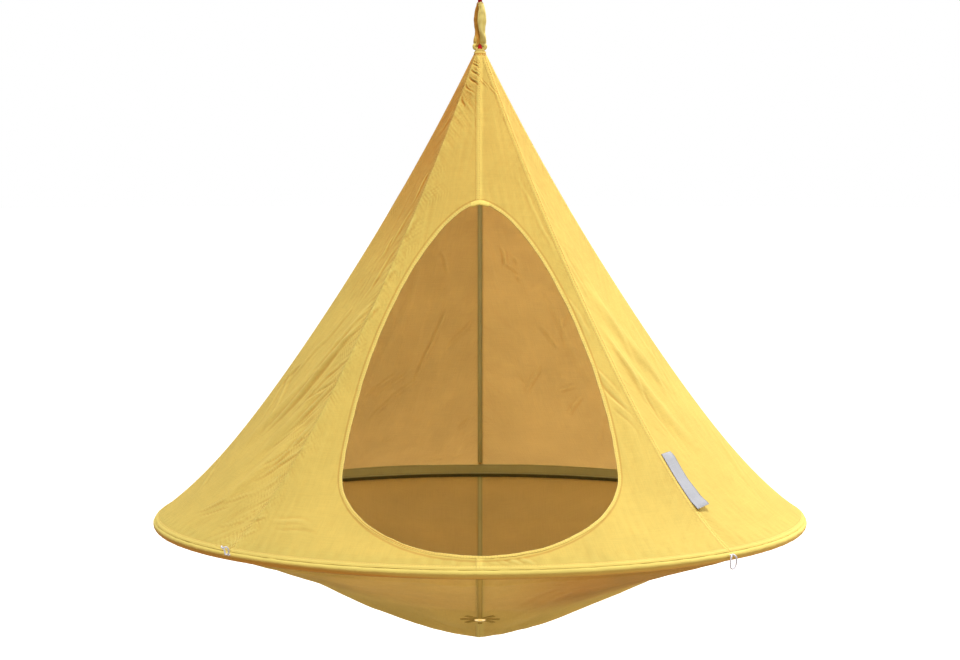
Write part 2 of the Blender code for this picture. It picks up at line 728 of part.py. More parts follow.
def strand_path():
    """The sling's loop without its upper eye: down the right strand, through the bend, and up.

    Each step is a point, the way out of the loop, and how far it is bunched, from 0 to 1.
    """
    steps = []
    corner_height = BEND_HEIGHT + SLING_CORNER
    for k in range(STRAND_STEPS + 1):
        share = 1.0 - k / STRAND_STEPS
        height = corner_height + share * (MOUTH_HEIGHT - corner_height)
        rise = height - BEND_HEIGHT
        twist = -0.5 * math.pi * ease(rise, *TWISTING)
        apart = SLING_SPREAD + ease(rise, *CLOSING) * (SLING_CLOSE - SLING_SPREAD)
        out = Vector((math.cos(twist), math.sin(twist), 0.0))
        bunched = 1.0 - ease(rise, *BUNCHING)
        steps.append((out * apart + Vector((0.0, 0.0, RING_Z + height)), out, bunched))
    inner = SLING_SPREAD - SLING_CORNER
    for k in range(1, CORNER_STEPS + 1):
        turn = 0.5 * math.pi * k / CORNER_STEPS
        out = Vector((math.cos(turn), 0.0, -math.sin(turn)))
        centre = Vector((inner, 0.0, RING_Z + corner_height))
        steps.append((centre + out * SLING_CORNER, out, 1.0))
    mirrored = [(Vector((-p.x, -p.y, p.z)), Vector((-o.x, -o.y, o.z)), b)
                for p, o, b in reversed(steps)]
    return steps + mirrored


def strand_sections(half_width, half_depth, bend_half_width, bend_half_depth, corners):
    """Sections of a strand along the sling's path; corners are turned shares of the half sizes."""
    path = strand_path()
    sections = []
    for k, (point, out, bunched) in enumerate(path):
        before, after = path[max(k - 1, 0)][0], path[min(k + 1, len(path) - 1)][0]
        along = (after - before).normalized()
        if k in (0, len(path) - 1):
            along = Vector((0.0, 0.0, -1.0 if k == 0 else 1.0))
        depth_way = (out - along * out.dot(along)).normalized()
        width_way = along.cross(depth_way)
        wide = half_width + bunched * (bend_half_width - half_width)
        deep = half_depth + bunched * (bend_half_depth - half_depth)
        sections.append([point + width_way * (wide * a) + depth_way * (deep * b)
                         for a, b in corners])
    return sections


def build_sling(parent):
    """The webbing of the lower sling and the yellow sleeve over it."""
    round_corners = [(math.cos(FULL_TURN * (k + 0.5) / TUBE_SIDES),
                      math.sin(FULL_TURN * (k + 0.5) / TUBE_SIDES)) for k in range(TUBE_SIDES)]
    rows = strand_sections(STRAND_HALF_WIDTH, STRAND_HALF_DEPTH, BEND_RADIUS, BEND_RADIUS,
                           round_corners)
    hose("sling_sleeve", rows, SLEEVE_CLOTH, YELLOW, parent=parent)
    square = ((1.0, 1.0), (-1.0, 1.0), (-1.0, -1.0), (1.0, -1.0))
    core = strand_sections(CORE_HALF_WIDTH, CORE_HALF_DEPTH, BEND_CORE_HALF_WIDTH,
                           CORE_HALF_DEPTH, square)
    solid("sling_webbing", core, RED, parent=parent)


def build_eye():
    """The upper eye of the sling, red webbing that opens to take a hook."""
    sections = []
    middle_radius = EYE_RADIUS + CORE_HALF_DEPTH
    arch_z = -EYE_RADIUS
    mouth_z = -EYE_HEIGHT + GAP
    places = []
    for k in range(EYE_LEG_STEPS):
        opened = ease(k, 0, EYE_LEG_STEPS)
        places.append((SLING_CLOSE + opened * (middle_radius - SLING_CLOSE),
                       mouth_z + k / EYE_LEG_STEPS * (arch_z - mouth_z), 0.0))
    for k in range(EYE_STEPS + 1):
        turn = math.pi * k / EYE_STEPS
        places.append((middle_radius * math.cos(turn), arch_z + middle_radius * math.sin(turn), turn))
    places += [(-y, z, math.pi - turn) for y, z, turn in reversed(places[:EYE_LEG_STEPS])]
    for y, z, turn in places:
        out = Vector((0.0, math.cos(turn), math.sin(turn)))
        centre = Vector((0.0, y, z))
        wide = Vector((CORE_HALF_WIDTH, 0.0, 0.0))
        deep = out * CORE_HALF_DEPTH
        sections.append([centre + wide + deep, centre - wide + deep, centre - wide - deep,
                         centre + wide - deep])
    solid("sling_eye", sections, RED)


def build_crown_loop(parent):
    """Webbing bent over the sling's lower bend; each leg ends in a round end on the sway axis."""
    inner = BEND_RADIUS + GAP
    outer = inner + LOOP_THICKNESS
    bend_z = RING_Z + BEND_HEIGHT
    hinge_z = RING_Z + LOOP_HINGE_HEIGHT
    places = []
    for k in range(LOOP_END_STEPS):
        turn = 0.5 * math.pi * k / LOOP_END_STEPS
        places.append((hinge_z - LOOP_HALF_WIDTH * math.cos(turn),
                       max(LOOP_HALF_WIDTH * math.sin(turn), LOOP_END_HALF_WIDTH)))
    legs = [(Vector((0.0, outer, z)), Vector((0.0, inner, z)), half) for z, half in places]
    legs.append((Vector((0.0, outer, bend_z)), Vector((0.0, inner, bend_z)), LOOP_HALF_WIDTH))
    arch = []
    for k in range(1, LOOP_ARCH_STEPS):
        turn = math.pi * k / LOOP_ARCH_STEPS
        out = Vector((0.0, math.cos(turn), math.sin(turn)))
        centre = Vector((0.0, 0.0, bend_z))
        arch.append((centre + out * outer, centre + out * inner, LOOP_HALF_WIDTH))
    mirrored = [(Vector((0.0, -a.y, a.z)), Vector((0.0, -b.y, b.z)), half)
                for a, b, half in reversed(legs)]
    sections = []
    for far, near, half in legs + arch + mirrored:
        wide = Vector((half, 0.0, 0.0))
        sections.append([far + wide, far - wide, near - wide, near + wide])
    solid("crown_loop", sections, RED, parent=parent)


def build_crown_root(parent):
    """The webbing's sewn ends, down the inside of the tip behind and in front."""
    top = RING_Z + LOOP_HINGE_HEIGHT - LOOP_HALF_WIDTH - GAP
    half_width = CROWN_ROOT_WIDTH_SHARE * LOOP_HALF_WIDTH
    depth = (INNER_DEPTH + (TAPE_THICKNESS + 2.0 * GAP) / math.cos(0.5 * GORE_ANGLE)
             + half_width * math.tan(0.5 * GORE_ANGLE))
    for name, way in (("front", -1.0), ("back", 1.0)):
        angle = 0.0 if way < 0.0 else math.pi
        under_loop = BEND_RADIUS + GAP
        faces = [(Vector((0.0, way * (under_loop + LOOP_THICKNESS), top)),
                  Vector((0.0, way * under_loop, top)))]
        for fall in (*CROWN_ROOT_FALLS, CROWN_ROOT_LENGTH):
            share = share_at(CANOPY_HEIGHT - fall)
            normal = seam_normal(angle, share)
            far = canopy_point(angle + BARELY, share) - normal * depth
            faces.append((far, far - normal * LOOP_THICKNESS))
        wide = Vector((half_width, 0.0, 0.0))
        sections = [[far + wide, far - wide, near - wide, near + wide] for far, near in faces]
        solid("crown_root_" + name, sections, RED, parent=parent)


def smooth_between(around, part):
    """A point of a smooth curve between the middle two of four points."""
    return [0.5 * (2.0 * b + (c - a) * part + (2.0 * a - 5.0 * b + 4.0 * c - d) * part ** 2
                   + (3.0 * b - a - 3.0 * c + d) * part ** 3) for a, b, c, d in zip(*around)]


def build_rim_loop(name, angle, half, parent):
    """A short cord loop out of the rim's seam, as a bevelled curve."""
    curve = bpy.data.curves.new(name, "CURVE")
    curve.dimensions = "3D"
    curve.bevel_depth = 0.5 * CORD_DIAMETER
    curve.bevel_resolution = 2
    curve.use_fill_caps = True
    places = list(half) + [(out, height, -side) for out, height, side in reversed(half)]
    smooth = []
    for k in range(len(places) - 1):
        around = [places[min(max(k + n, 0), len(places) - 1)] for n in (-1, 0, 1, 2)]
        smooth += [smooth_between(around, part) for part in (0.0, 0.5)]
    smooth.append(places[-1])
    line = curve.splines.new("POLY")
    line.points.add(len(smooth) - 1)
    outward = Vector((math.sin(angle), -math.cos(angle), 0.0))
    across = Vector((math.cos(angle), math.sin(angle), 0.0))
    for point, (out, height, side) in zip(line.points, smooth):
        place = (outward * (RING_RADIUS + SLEEVE_FACE + out) + across * side
                 + Vector((0.0, 0.0, RING_Z + height)))
        point.co = (*place, 1.0)
    curve.materials.append(finish(name + "_finish", WHITE, 0.7))
    item = bpy.data.objects.new(name, curve)
    bpy.context.scene.collection.objects.link(item)
    item.parent = parent
    item.location = -world_place(parent)


def build_label(parent):
    """A blank woven label on the side of the right front seam, its lower end lifting off."""
    seam = GORE_ANGLE + BARELY
    beside = seam + GORE_ANGLE / FOLDED_COLUMNS
    shares, gone = [share_at(LABEL_TOP)], 0.0
    for mark in [s for s in row_shares() if s > shares[0]]:
        step = (laid_point(seam, mark) - laid_point(seam, shares[-1])).length
        if gone + step >= LABEL_LENGTH:
            shares.append(shares[-1] + (mark - shares[-1]) * (LABEL_LENGTH - gone) / step)
            break
        gone += step
        shares.append(mark)
    rows = []
    for share in shares:
        edge = laid_point(seam, share)
        across = (laid_point(beside, share) - edge).normalized()
        normal = canopy_normal(0.5 * (seam + beside), share)
        rows.append([edge + across * SEAM_SETBACK, across, normal])
    curl_from = len(rows) - 2
    points = []
    for k, (start, across, normal) in enumerate(rows):
        lift = LABEL_THICKNESS + 1.5 * GAP
        if k > curl_from:
            lift += LABEL_CURL
        points.append([start + normal * lift, start + across * LABEL_WIDTH + normal * lift])
    cloth("label", points[::-1], LABEL_THICKNESS, GREY, roughness=0.6, parent=parent)


def main():
    for item in list(bpy.data.objects):
        bpy.data.objects.remove(item, do_unlink=True)
    spin_axis = pivot("spin_axis", (0.0, 0.0, RING_Z + MOUTH_HEIGHT))
    swing_axis = pivot("swing_axis", (0.0, 0.0, RING_Z + BEND_HEIGHT), spin_axis)
    sway_axis = pivot("sway_axis", (0.0, 0.0, RING_Z + LOOP_HINGE_HEIGHT), swing_axis)
    build_eye()
    build_sling(spin_axis)
    build_crown_loop(swing_axis)
    build_crown_root(sway_axis)
    build_canopy(sway_axis)
    build_seam_tapes(sway_axis)
    build_binding(sway_axis)
    build_ring(sway_axis)
    build_rim_band(sway_axis)
    build_floor(sway_axis)
    build_star(sway_axis)
    build_eyelet(sway_axis)
    build_rim_loop("cord_loop_right", GORE_ANGLE, HANGING_LOOP, sway_axis)
    build_rim_loop("cord_loop_left", -GORE_ANGLE, RAISED_LOOP, sway_axis)
    build_label(sway_axis)


main()
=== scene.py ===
"""Cocoon hammock: the cloth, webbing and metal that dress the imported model, and a studio to see it in.

Metres, +Z up, with the origin where the hammock hangs. Heights are measured from the ring's plane and
angles run round from the front, positive to the right as seen from there.
"""

import json
import math
import random

import bpy
import numpy as np
from mathutils import Matrix, Vector

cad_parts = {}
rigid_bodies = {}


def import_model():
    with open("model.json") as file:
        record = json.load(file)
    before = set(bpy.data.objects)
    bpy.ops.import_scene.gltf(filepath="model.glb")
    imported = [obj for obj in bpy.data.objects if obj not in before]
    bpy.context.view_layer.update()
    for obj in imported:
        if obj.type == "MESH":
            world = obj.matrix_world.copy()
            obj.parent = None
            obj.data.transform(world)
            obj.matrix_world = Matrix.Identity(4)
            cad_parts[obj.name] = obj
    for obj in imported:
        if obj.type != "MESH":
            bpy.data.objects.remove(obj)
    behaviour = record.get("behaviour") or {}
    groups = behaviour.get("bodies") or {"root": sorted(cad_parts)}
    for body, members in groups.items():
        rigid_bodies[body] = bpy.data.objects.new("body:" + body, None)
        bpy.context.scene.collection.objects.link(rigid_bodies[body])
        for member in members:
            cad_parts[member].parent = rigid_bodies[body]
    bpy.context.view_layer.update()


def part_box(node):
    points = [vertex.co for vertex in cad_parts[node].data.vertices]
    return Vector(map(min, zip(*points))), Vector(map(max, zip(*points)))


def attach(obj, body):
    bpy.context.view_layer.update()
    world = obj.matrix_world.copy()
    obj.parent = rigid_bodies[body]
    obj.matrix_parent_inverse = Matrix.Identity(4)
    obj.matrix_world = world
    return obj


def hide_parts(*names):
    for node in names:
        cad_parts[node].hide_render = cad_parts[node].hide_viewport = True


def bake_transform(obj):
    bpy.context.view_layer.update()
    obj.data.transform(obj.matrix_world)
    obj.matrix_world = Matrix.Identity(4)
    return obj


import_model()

bl_info = {
    "name": "Cocoon hammock",
    "version": (1, 0, 0),
    "blender": (4, 5, 0),
    "location": "View3D > Sidebar > Hammock",
    "description": "Builds the canvas, webbing, cords and metal of a hanging cocoon hammock",
    "category": "Object",
}

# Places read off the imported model
SLEEVE_LOW, SLEEVE_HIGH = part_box("ring_sleeve")
RING_Z = 0.5 * (SLEEVE_LOW.z + SLEEVE_HIGH.z)
SLEEVE_FACE = 0.5 * (SLEEVE_HIGH.z - SLEEVE_LOW.z)
RING_RADIUS = SLEEVE_HIGH.x - SLEEVE_FACE
CANOPY_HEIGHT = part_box("gore_back_left")[1].z - RING_Z

# The model's own sizes, repeated. The sling's spread, corner, closing, twisting and bunching are
# this scene's own, closer to the photograph's.
TUBE_CORNER = math.cos(math.pi / 8.0)
SLEEVE_OUTER = SLEEVE_FACE / TUBE_CORNER
POLE_RADIUS, POLE_WALL, POLES = 0.0095, 0.0015, 8
SLEEVE_MOUTH = 0.050
TIP_RADIUS = 0.0135
STRAIGHT_SHARE, BELLY_SHARE, FLARE_POWER = 0.704, 0.220, 12
GORES = 8
GORE_ANGLE = math.tau / GORES
CLOTH, GAP = 0.0010, 0.0003
TAPE_WIDTH, TAPE_THICKNESS = 0.012, 0.0008
DOOR_TOP, DOOR_BOTTOM, DOOR_WIDEST, DOOR_WIDTH = 0.731, 0.033, 0.165, 0.584
DOOR_ROUNDNESS, DOOR_SHOULDER, DOOR_POINT = 0.93, 1.42, 0.625
BAND_TOP, BAND_LEAN, BAND_UPRIGHT = 0.024, 0.0122, 0.3
FRONT_SLOPE, BACK_SLOPE, BOWL_ROUNDING = 0.30, 0.80, 0.020
POCKET_DEPTH, POCKET_PLACE, POCKET_SPREAD = 0.030, 0.24, 0.12
STAR_PLACE, STAR_SLOPE, STAR_FLAT, STAR_BLEND, STAR_ARM = 0.050, 0.44, 0.070, 0.154, 0.046
STRAP_WIDTH, WEBBING_THICKNESS = 0.012, 0.0016
EYELET_HOLE, EYELET_RADIUS = 0.0050, 0.0130
LINK_HEIGHT, SLING_LENGTH = 0.011, 0.106
SLING_SPREAD, SLING_CLOSE, SLING_CORNER = 0.0112, 0.0065, 0.0062
CLOSING, TWISTING, BUNCHING = (0.0063, 0.0115), (0.014, 0.050), (0.012, 0.030)
STRAND_HALF_WIDTH, STRAND_HALF_DEPTH, BEND_RADIUS = 0.008, 0.0043, 0.005
CORE_HALF_WIDTH, CORE_HALF_DEPTH, BEND_CORE_HALF_WIDTH = 0.0048, 0.0014, 0.0025
EYE_RADIUS, EYE_HEIGHT = 0.0085, 0.0235
LOOP_HALF_WIDTH, LOOP_THICKNESS = 0.005, 0.0020
CORD_DIAMETER = 0.0035
LABEL_WIDTH, LABEL_TOP, LABEL_LENGTH = 0.033, 0.198, 0.150
BEND_HEIGHT = CANOPY_HEIGHT + LINK_HEIGHT
MOUTH_HEIGHT = BEND_HEIGHT + SLING_LENGTH
SWAY_HEIGHT = BEND_HEIGHT - BEND_RADIUS - LOOP_HALF_WIDTH

# The large folds that the model's own canopy has: ridge ends as angle in degrees and height, then half
# width and how far the ridge stands out
LARGE_FOLDS = (
    ((-50.0, 0.50), (-79.0, 0.17), 0.026, 0.009),
    ((-50.0, 0.38), (-64.0, 0.16), 0.022, 0.007),
    ((-50.0, 0.26), (-62.0, 0.06), 0.022, 0.007),
    ((48.0, 0.47), (63.0, 0.19), 0.026, 0.010),
    ((52.0, 0.56), (74.0, 0.30), 0.030, 0.008),
)

# Creases, each from one angle and height to another, half width and height in millimetres; a trough's
# height is negative
CREASES = (
    # left of the left front seam, running down and away from it
    (-47.5, 0.475, -70.9, 0.199, 9, 5), (-47, 0.520, -66, 0.330, 9, 2.8),
    (-46, 0.400, -62, 0.262, 6, 3), (-46, 0.352, -58.6, 0.290, 5, -3.6),
    (-45.8, 0.349, -57.3, 0.226, 7, 3.6), (-46, 0.310, -60, 0.180, 6, -2.6),
    (-45.6, 0.270, -53.5, 0.155, 6, 3.2), (-45.8, 0.235, -57, 0.150, 5, -2.2),
    (-45.5, 0.203, -55.4, 0.134, 5.5, 2.8), (-45.5, 0.165, -50, 0.122, 4.5, 2),
    (-52, 0.115, -60, 0.080, 5, 1.4), (-58.3, 0.094, -66.5, 0.052, 6, 1.8),
    (-56, 0.078, -64, 0.048, 5, -1.2), (-48, 0.066, -54, 0.046, 4, 1.2),
    (-79.9, 0.371, -88.4, 0.292, 8, 2.2), (-72, 0.430, -84, 0.300, 9, 1.8),
    (-64, 0.500, -76, 0.390, 9, 1.8), (-56.7, 0.450, -61.3, 0.400, 8, 2),
    (-59.4, 0.658, -65.4, 0.596, 8, 2.2), (-52, 0.720, -62, 0.600, 8, 1.6),
    (-50.5, 0.803, -57, 0.720, 5, 1.5), (-49, 0.640, -60, 0.500, 8, 2.2),
    # across the left front seam
    (-43, 0.515, -47.5, 0.457, 5, 2), (-42.8, 0.704, -46.6, 0.645, 5, 1.8),
    (-42.6, 0.590, -46.8, 0.545, 5, 1.4), (-43, 0.079, -47, 0.068, 3.5, 1.4),
    (-43, 0.052, -46, 0.040, 3, 1.2), (-41.6, 0.073, -31.5, 0.072, 8, 1.4),
    (-40, 0.060, -29, 0.058, 7, -0.9),
    # gathers under the tip, between the left front seam and the middle
    (-43, 1.051, -14, 1.040, 2.4, -1.2), (-43, 1.046, -6, 1.030, 2.8, -1.6),
    (-41, 1.030, -3, 1.012, 3, -1.8), (-40, 1.013, -5, 0.992, 3.2, -1.9),
    (-43, 0.996, -24, 0.976, 3.2, -1.6), (-36, 0.990, -14, 0.968, 3.8, 0.8),
    (-43, 0.968, -28, 0.940, 4, -1.3), (-30, 0.960, -12, 0.930, 4.4, 0.7),
    (-47, 1.024, -66, 0.985, 3.4, -1.5), (-47, 0.996, -64, 0.950, 3.8, -1.5),
    (-47, 0.958, -60, 0.905, 4.4, -1.3), (-52, 0.940, -66, 0.880, 4.4, 1),
    (3, 1.010, 22, 0.985, 2.6, 0.6), (24, 1.000, 42, 0.965, 3, 0.8),
    # between the door and the right front seam
    (38.6, 0.490, 38.6, 0.436, 5, -0.8), (40.8, 0.500, 40.9, 0.420, 4, 0.6),
    (36.6, 0.410, 42.6, 0.300, 6, 1), (37, 0.368, 42.6, 0.263, 7, -1.8),
    (39, 0.318, 43.2, 0.258, 4.5, 1.1), (38, 0.300, 42.6, 0.236, 5, -0.8),
    (36.5, 0.560, 41.5, 0.470, 6, 0.6), (38, 0.704, 41.9, 0.602, 6, 0.6),
    (36.8, 0.759, 40.4, 0.650, 6, 0.5), (34, 0.800, 39.5, 0.700, 6, 0.3),
    # right of the right front seam
    (50.5, 0.455, 52.6, 0.285, 9, 1.9), (53, 0.325, 54.4, 0.250, 5.5, -1.4),
    (51, 0.300, 55.5, 0.215, 6, 0.7), (47.5, 0.640, 50, 0.500, 8, 0.9),
    (58, 0.540, 61.5, 0.350, 12, 1.4), (65, 0.420, 72, 0.250, 11, 0.8),
    (49, 0.820, 53, 0.690, 6, 0.5), (97, 0.050, 88, 0.014, 7, -1.1),
    # the strip below the door, right of the middle
    (2.6, 0.031, 4.8, 0.014, 2.8, 1.2), (4.4, 0.032, 6.9, 0.013, 2.8, 1.2),
    (6.2, 0.033, 9, 0.013, 2.8, 1.1), (1.4, 0.028, 2.8, 0.016, 2.4, 0.8),
    (-3, 0.030, -5, 0.016, 3, 0.6),
    # the back wall, seen through the door
    (-166.1, 0.459, -159.5, 0.239, 5, 1.9), (-178.2, 0.436, -168, 0.339, 5, 1.6),
    (-154.1, 0.301, -145.2, 0.219, 4.5, 1.8), (-158, 0.304, -148, 0.212, 4.5, 1.6),
    (-161.3, 0.282, -152.8, 0.210, 4.5, 1.5), (-155.2, 0.241, -150.4, 0.161, 4.5, 1.6),
    (-178.2, 0.178, -174.7, 0.122, 5, 1.5), (-173.5, 0.056, -167.6, 0.030, 4.5, 1.5),
    (-177.4, 0.058, -172.2, 0.031, 4.5, 1.5), (-171.2, 0.066, -165.5, 0.038, 4, 1.1),
    (-157.5, 0.605, -167, 0.530, 6, 0.9), (-156.3, 0.092, -160, 0.134, 5, 0.9),
    (169, 0.614, 165.2, 0.555, 3.5, 1.5), (167, 0.568, 159.3, 0.546, 3.5, 1.5),
    (162.6, 0.542, 160.1, 0.524, 3, 1.1), (168.3, 0.594, 167.4, 0.548, 3, 0.9),
    (163, 0.588, 159.3, 0.571, 3.2, 1.1), (167, 0.226, 160.1, 0.325, 6, 1.6),
    (156.4, 0.241, 150.2, 0.270, 5, 1.4), (156.4, 0.175, 149.5, 0.244, 6, 1.8),
    (168.5, 0.296, 164.4, 0.249, 6, 0.9), (158, 0.420, 150, 0.350, 8, 1.1),
)

# Creases of the bowl in plan: from x and y to x and y, half width and how far they stand out below
BOWL_CREASES = (
    (0.240, -0.500, 0.100, 0.090, 0.018, 0.0030), (0.190, -0.520, 0.060, -0.060, 0.015, -0.0024),
    (0.150, -0.130, 0.030, 0.200, 0.012, 0.0021), (0.330, -0.420, 0.220, -0.100, 0.016, 0.0024),
    (0.400, -0.330, 0.300, 0.020, 0.014, -0.0018), (-0.347, -0.234, -0.110, 0.130, 0.012, 0.0013),
    (-0.250, -0.300, -0.080, 0.080, 0.012, 0.0011), (-0.150, 0.100, -0.040, 0.210, 0.008, 0.0014),
    (-0.128, -0.440, -0.058, -0.060, 0.016, 0.0008), (-0.200, 0.190, -0.060, 0.260, 0.010, 0.0012),
    (-0.440, -0.100, -0.220, 0.230, 0.014, 0.0014), (0.420, 0.020, 0.160, 0.260, 0.014, 0.0018),
    (0.100, 0.200, 0.030, 0.300, 0.010, 0.0012), (-0.300, 0.480, -0.080, 0.280, 0.014, 0.0016),
    (0.260, 0.500, 0.070, 0.290, 0.014, 0.0016), (0.020, 0.640, 0.040, 0.330, 0.012, 0.0012),
)

SEAM_FADE = 0.050       # soft waves of the cloth die out over this distance from a seam
BARELY = 1e-6


# Small tools

def linear(text):
    """A colour in linear light from its sRGB hex value."""
    values = [int(text[k:k + 2], 16) / 255.0 for k in (0, 2, 4)]
    return tuple(v / 12.92 if v <= 0.04045 else ((v + 0.055) / 1.055) ** 2.4 for v in values)


def node(tree, kind, settings=None, links=None):
    """Add a shader node with its settings and links; a node as a source stands for its first output."""
    item = tree.nodes.new("ShaderNode" + kind)
    for key, value in (settings or {}).items():
        if isinstance(key, str) and hasattr(item, key):
            setattr(item, key, value)
        else:
            item.inputs[key].default_value = value
    for key, source in (links or {}).items():
        tree.links.new(getattr(source, "outputs", [source])[0], item.inputs[key])
    return item


def ease(value, first, last):
    """A smooth step from 0 to 1 while a value goes from the first to the last."""
    share = np.clip((value - first) / (last - first), 0.0, 1.0)
    return share * share * (3.0 - 2.0 * share)


def cloth_noise(x, y, seed):
    """Smooth noise from -1 to 1 over a plane."""
    table = np.random.RandomState(seed).uniform(-1.0, 1.0, (64, 64))
    i, j = np.floor(x).astype(int), np.floor(y).astype(int)
    u, v = x - i, y - j
    u, v = u * u * (3.0 - 2.0 * u), v * v * (3.0 - 2.0 * v)
    low = table[i % 64, j % 64] * (1.0 - u) + table[(i + 1) % 64, j % 64] * u
    high = table[i % 64, (j + 1) % 64] * (1.0 - u) + table[(i + 1) % 64, (j + 1) % 64] * u
    return low * (1.0 - v) + high * v


def together(*parts):
    """Coordinates from parts that broadcast to one shape."""
    return np.stack(np.broadcast_arrays(*parts), axis=-1)


def unit(vectors):
    """Vectors scaled to length one."""
    lengths = np.linalg.norm(vectors, axis=-1, keepdims=True)
    return vectors / np.maximum(lengths, 1e-12)


def rim_point(angle, radius, height):
    """Points by angle from the front, radius and height over the ring's plane."""
    return together(radius * np.sin(angle), -radius * np.cos(angle), RING_Z + height)


def smooth_line(points, steps):
    """A smooth line through points, with that many steps between neighbours."""
    points = np.asarray(points, float)
    line = []
    last = len(points) - 1
    for k in range(last):
        a, b, c, d = (points[min(max(k + n, 0), last)] for n in (-1, 0, 1, 2))
        for step in range(steps):
            t = step / steps
            line.append(0.5 * (2.0 * b + (c - a) * t + (2.0 * a - 5.0 * b + 4.0 * c - d) * t ** 2
                               + (3.0 * b - a - 3.0 * c + d) * t ** 3))
    line.append(points[last])
    return np.array(line)

# Meshes

def place_mesh(mesh, materials, body, stands_for, marks, sharp=40.0):
    """A mesh's marks, smooth shading and materials, and its object on its body, for model nodes."""
    for mark, values in marks.items():
        attribute = mesh.attributes.new(mark, "FLOAT", "POINT")
        attribute.data.foreach_set("value", np.ascontiguousarray(values, dtype=np.float32))
    mesh.shade_smooth()
    mesh.set_sharp_from_angle(angle=math.radians(sharp))
    for material in materials:
        mesh.materials.append(material)
    item = bpy.data.objects.new(mesh.name, mesh)
    bpy.context.scene.collection.objects.link(item)
    if body:
        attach(item, body)
    if stands_for:
        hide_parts(*stands_for)
    return item


def grid_normals(points, closed, hint=1.0):
    """Normals of a grid's face, on the side that the hint says."""
    if closed:
        around = np.roll(points, -1, axis=1) - np.roll(points, 1, axis=1)
    else:
        around = np.gradient(points, axis=1)
    down = np.gradient(points, axis=0)
    return unit(np.cross(down, around)) * hint


def sheet_piece(name, points, uv, thickness, material, body, stands_for, marks, keep=None, period=None,
                hint=1.0, lining=None):
    """A closed sheet of cloth from a grid of points on its face, its thickness behind it.

    A period is the cloth's length round a tube, whose last column meets its first.
    """
    rows, columns = points.shape[:2]
    normals = grid_normals(points, period is not None, hint)
    depth = np.broadcast_to(thickness, (rows, columns))[..., None]
    count = rows * columns
    vertices = np.concatenate([points.reshape(-1, 3), (points - normals * depth).reshape(-1, 3)])
    index = np.arange(count).reshape(rows, columns)
    if period is not None:
        index = np.hstack([index, index[:, :1]])
        uv = np.concatenate([uv, uv[:, :1] + np.array([period, 0.0])], axis=1)
    corner, spots = ([grid[:-1, :-1], grid[1:, :-1], grid[1:, 1:], grid[:-1, 1:]]
                     for grid in (index, uv))
    outer = np.stack(corner, axis=-1).reshape(-1, 4)
    outer_uv = np.stack(spots, axis=-2).reshape(-1, 4, 2)
    if keep is not None:
        outer, outer_uv = outer[keep.ravel()], outer_uv[keep.ravel()]
    if hint < 0.0:
        outer, outer_uv = outer[:, ::-1], outer_uv[:, ::-1]
    starts, ends = outer, np.roll(outer, -1, axis=1)
    start_uv, end_uv = outer_uv, np.roll(outer_uv, -1, axis=1)
    key = np.minimum(starts, ends) * count + np.maximum(starts, ends)
    _, where, times = np.unique(key.ravel(), return_inverse=True, return_counts=True)
    border = times[where] == 1
    p, q = starts.ravel()[border], ends.ravel()[border]
    p_uv, q_uv = start_uv.reshape(-1, 2)[border], end_uv.reshape(-1, 2)[border]
    walls = np.stack([q, p, p + count, q + count], axis=-1)
    wall_uv = np.stack([q_uv, p_uv, p_uv, q_uv], axis=1)
    faces = np.concatenate([outer, outer[:, ::-1] + count, walls])
    loop_uv = np.concatenate([outer_uv, outer_uv[:, ::-1], wall_uv])
    used, compact = np.unique(faces.ravel(), return_inverse=True)
    mesh = bpy.data.meshes.new(name)
    mesh.from_pydata(vertices[used], [], compact.reshape(faces.shape))
    layer = mesh.uv_layers.new(name="cloth")
    layer.data.foreach_set("uv", np.ascontiguousarray(loop_uv, dtype=np.float32).ravel())
    if lining:
        which = np.zeros(len(faces), dtype=np.int32)
        which[len(outer):2 * len(outer)] = 1
        mesh.polygons.foreach_set("material_index", which)
    values = {}
    for mark, value in marks.items():
        value = np.broadcast_to(value, (rows, columns)).ravel()
        # The lining gets half of the painted light and shade, turned the other way
        inner = -0.5 * value if mark == "painted_light" else value
        values[mark] = np.concatenate([value, inner])[used]
    return place_mesh(mesh, [material, lining] if lining else [material], body, stands_for, values)


def folds(points, normals, full=110.0):
    """How sharply a sheet is folded at each point: near 1 on a ridge, near -1 in a furrow."""
    found = np.zeros(points.shape[:2])
    for axis in (0, 1):
        p = np.moveaxis(points, axis, 0)
        n = np.moveaxis(normals, axis, 0)
        step = np.diff(p, axis=0)
        length = np.linalg.norm(step, axis=-1)
        way = step / np.maximum(length, 1e-5)[..., None]
        bend = 2.0 * np.diff(way, axis=0) / np.maximum(length[:-1] + length[1:], 0.003)[..., None]
        np.moveaxis(found, axis, 0)[1:-1] -= np.einsum("ijk,ijk->ij", bend, n[1:-1])
    return np.tanh(found / full)


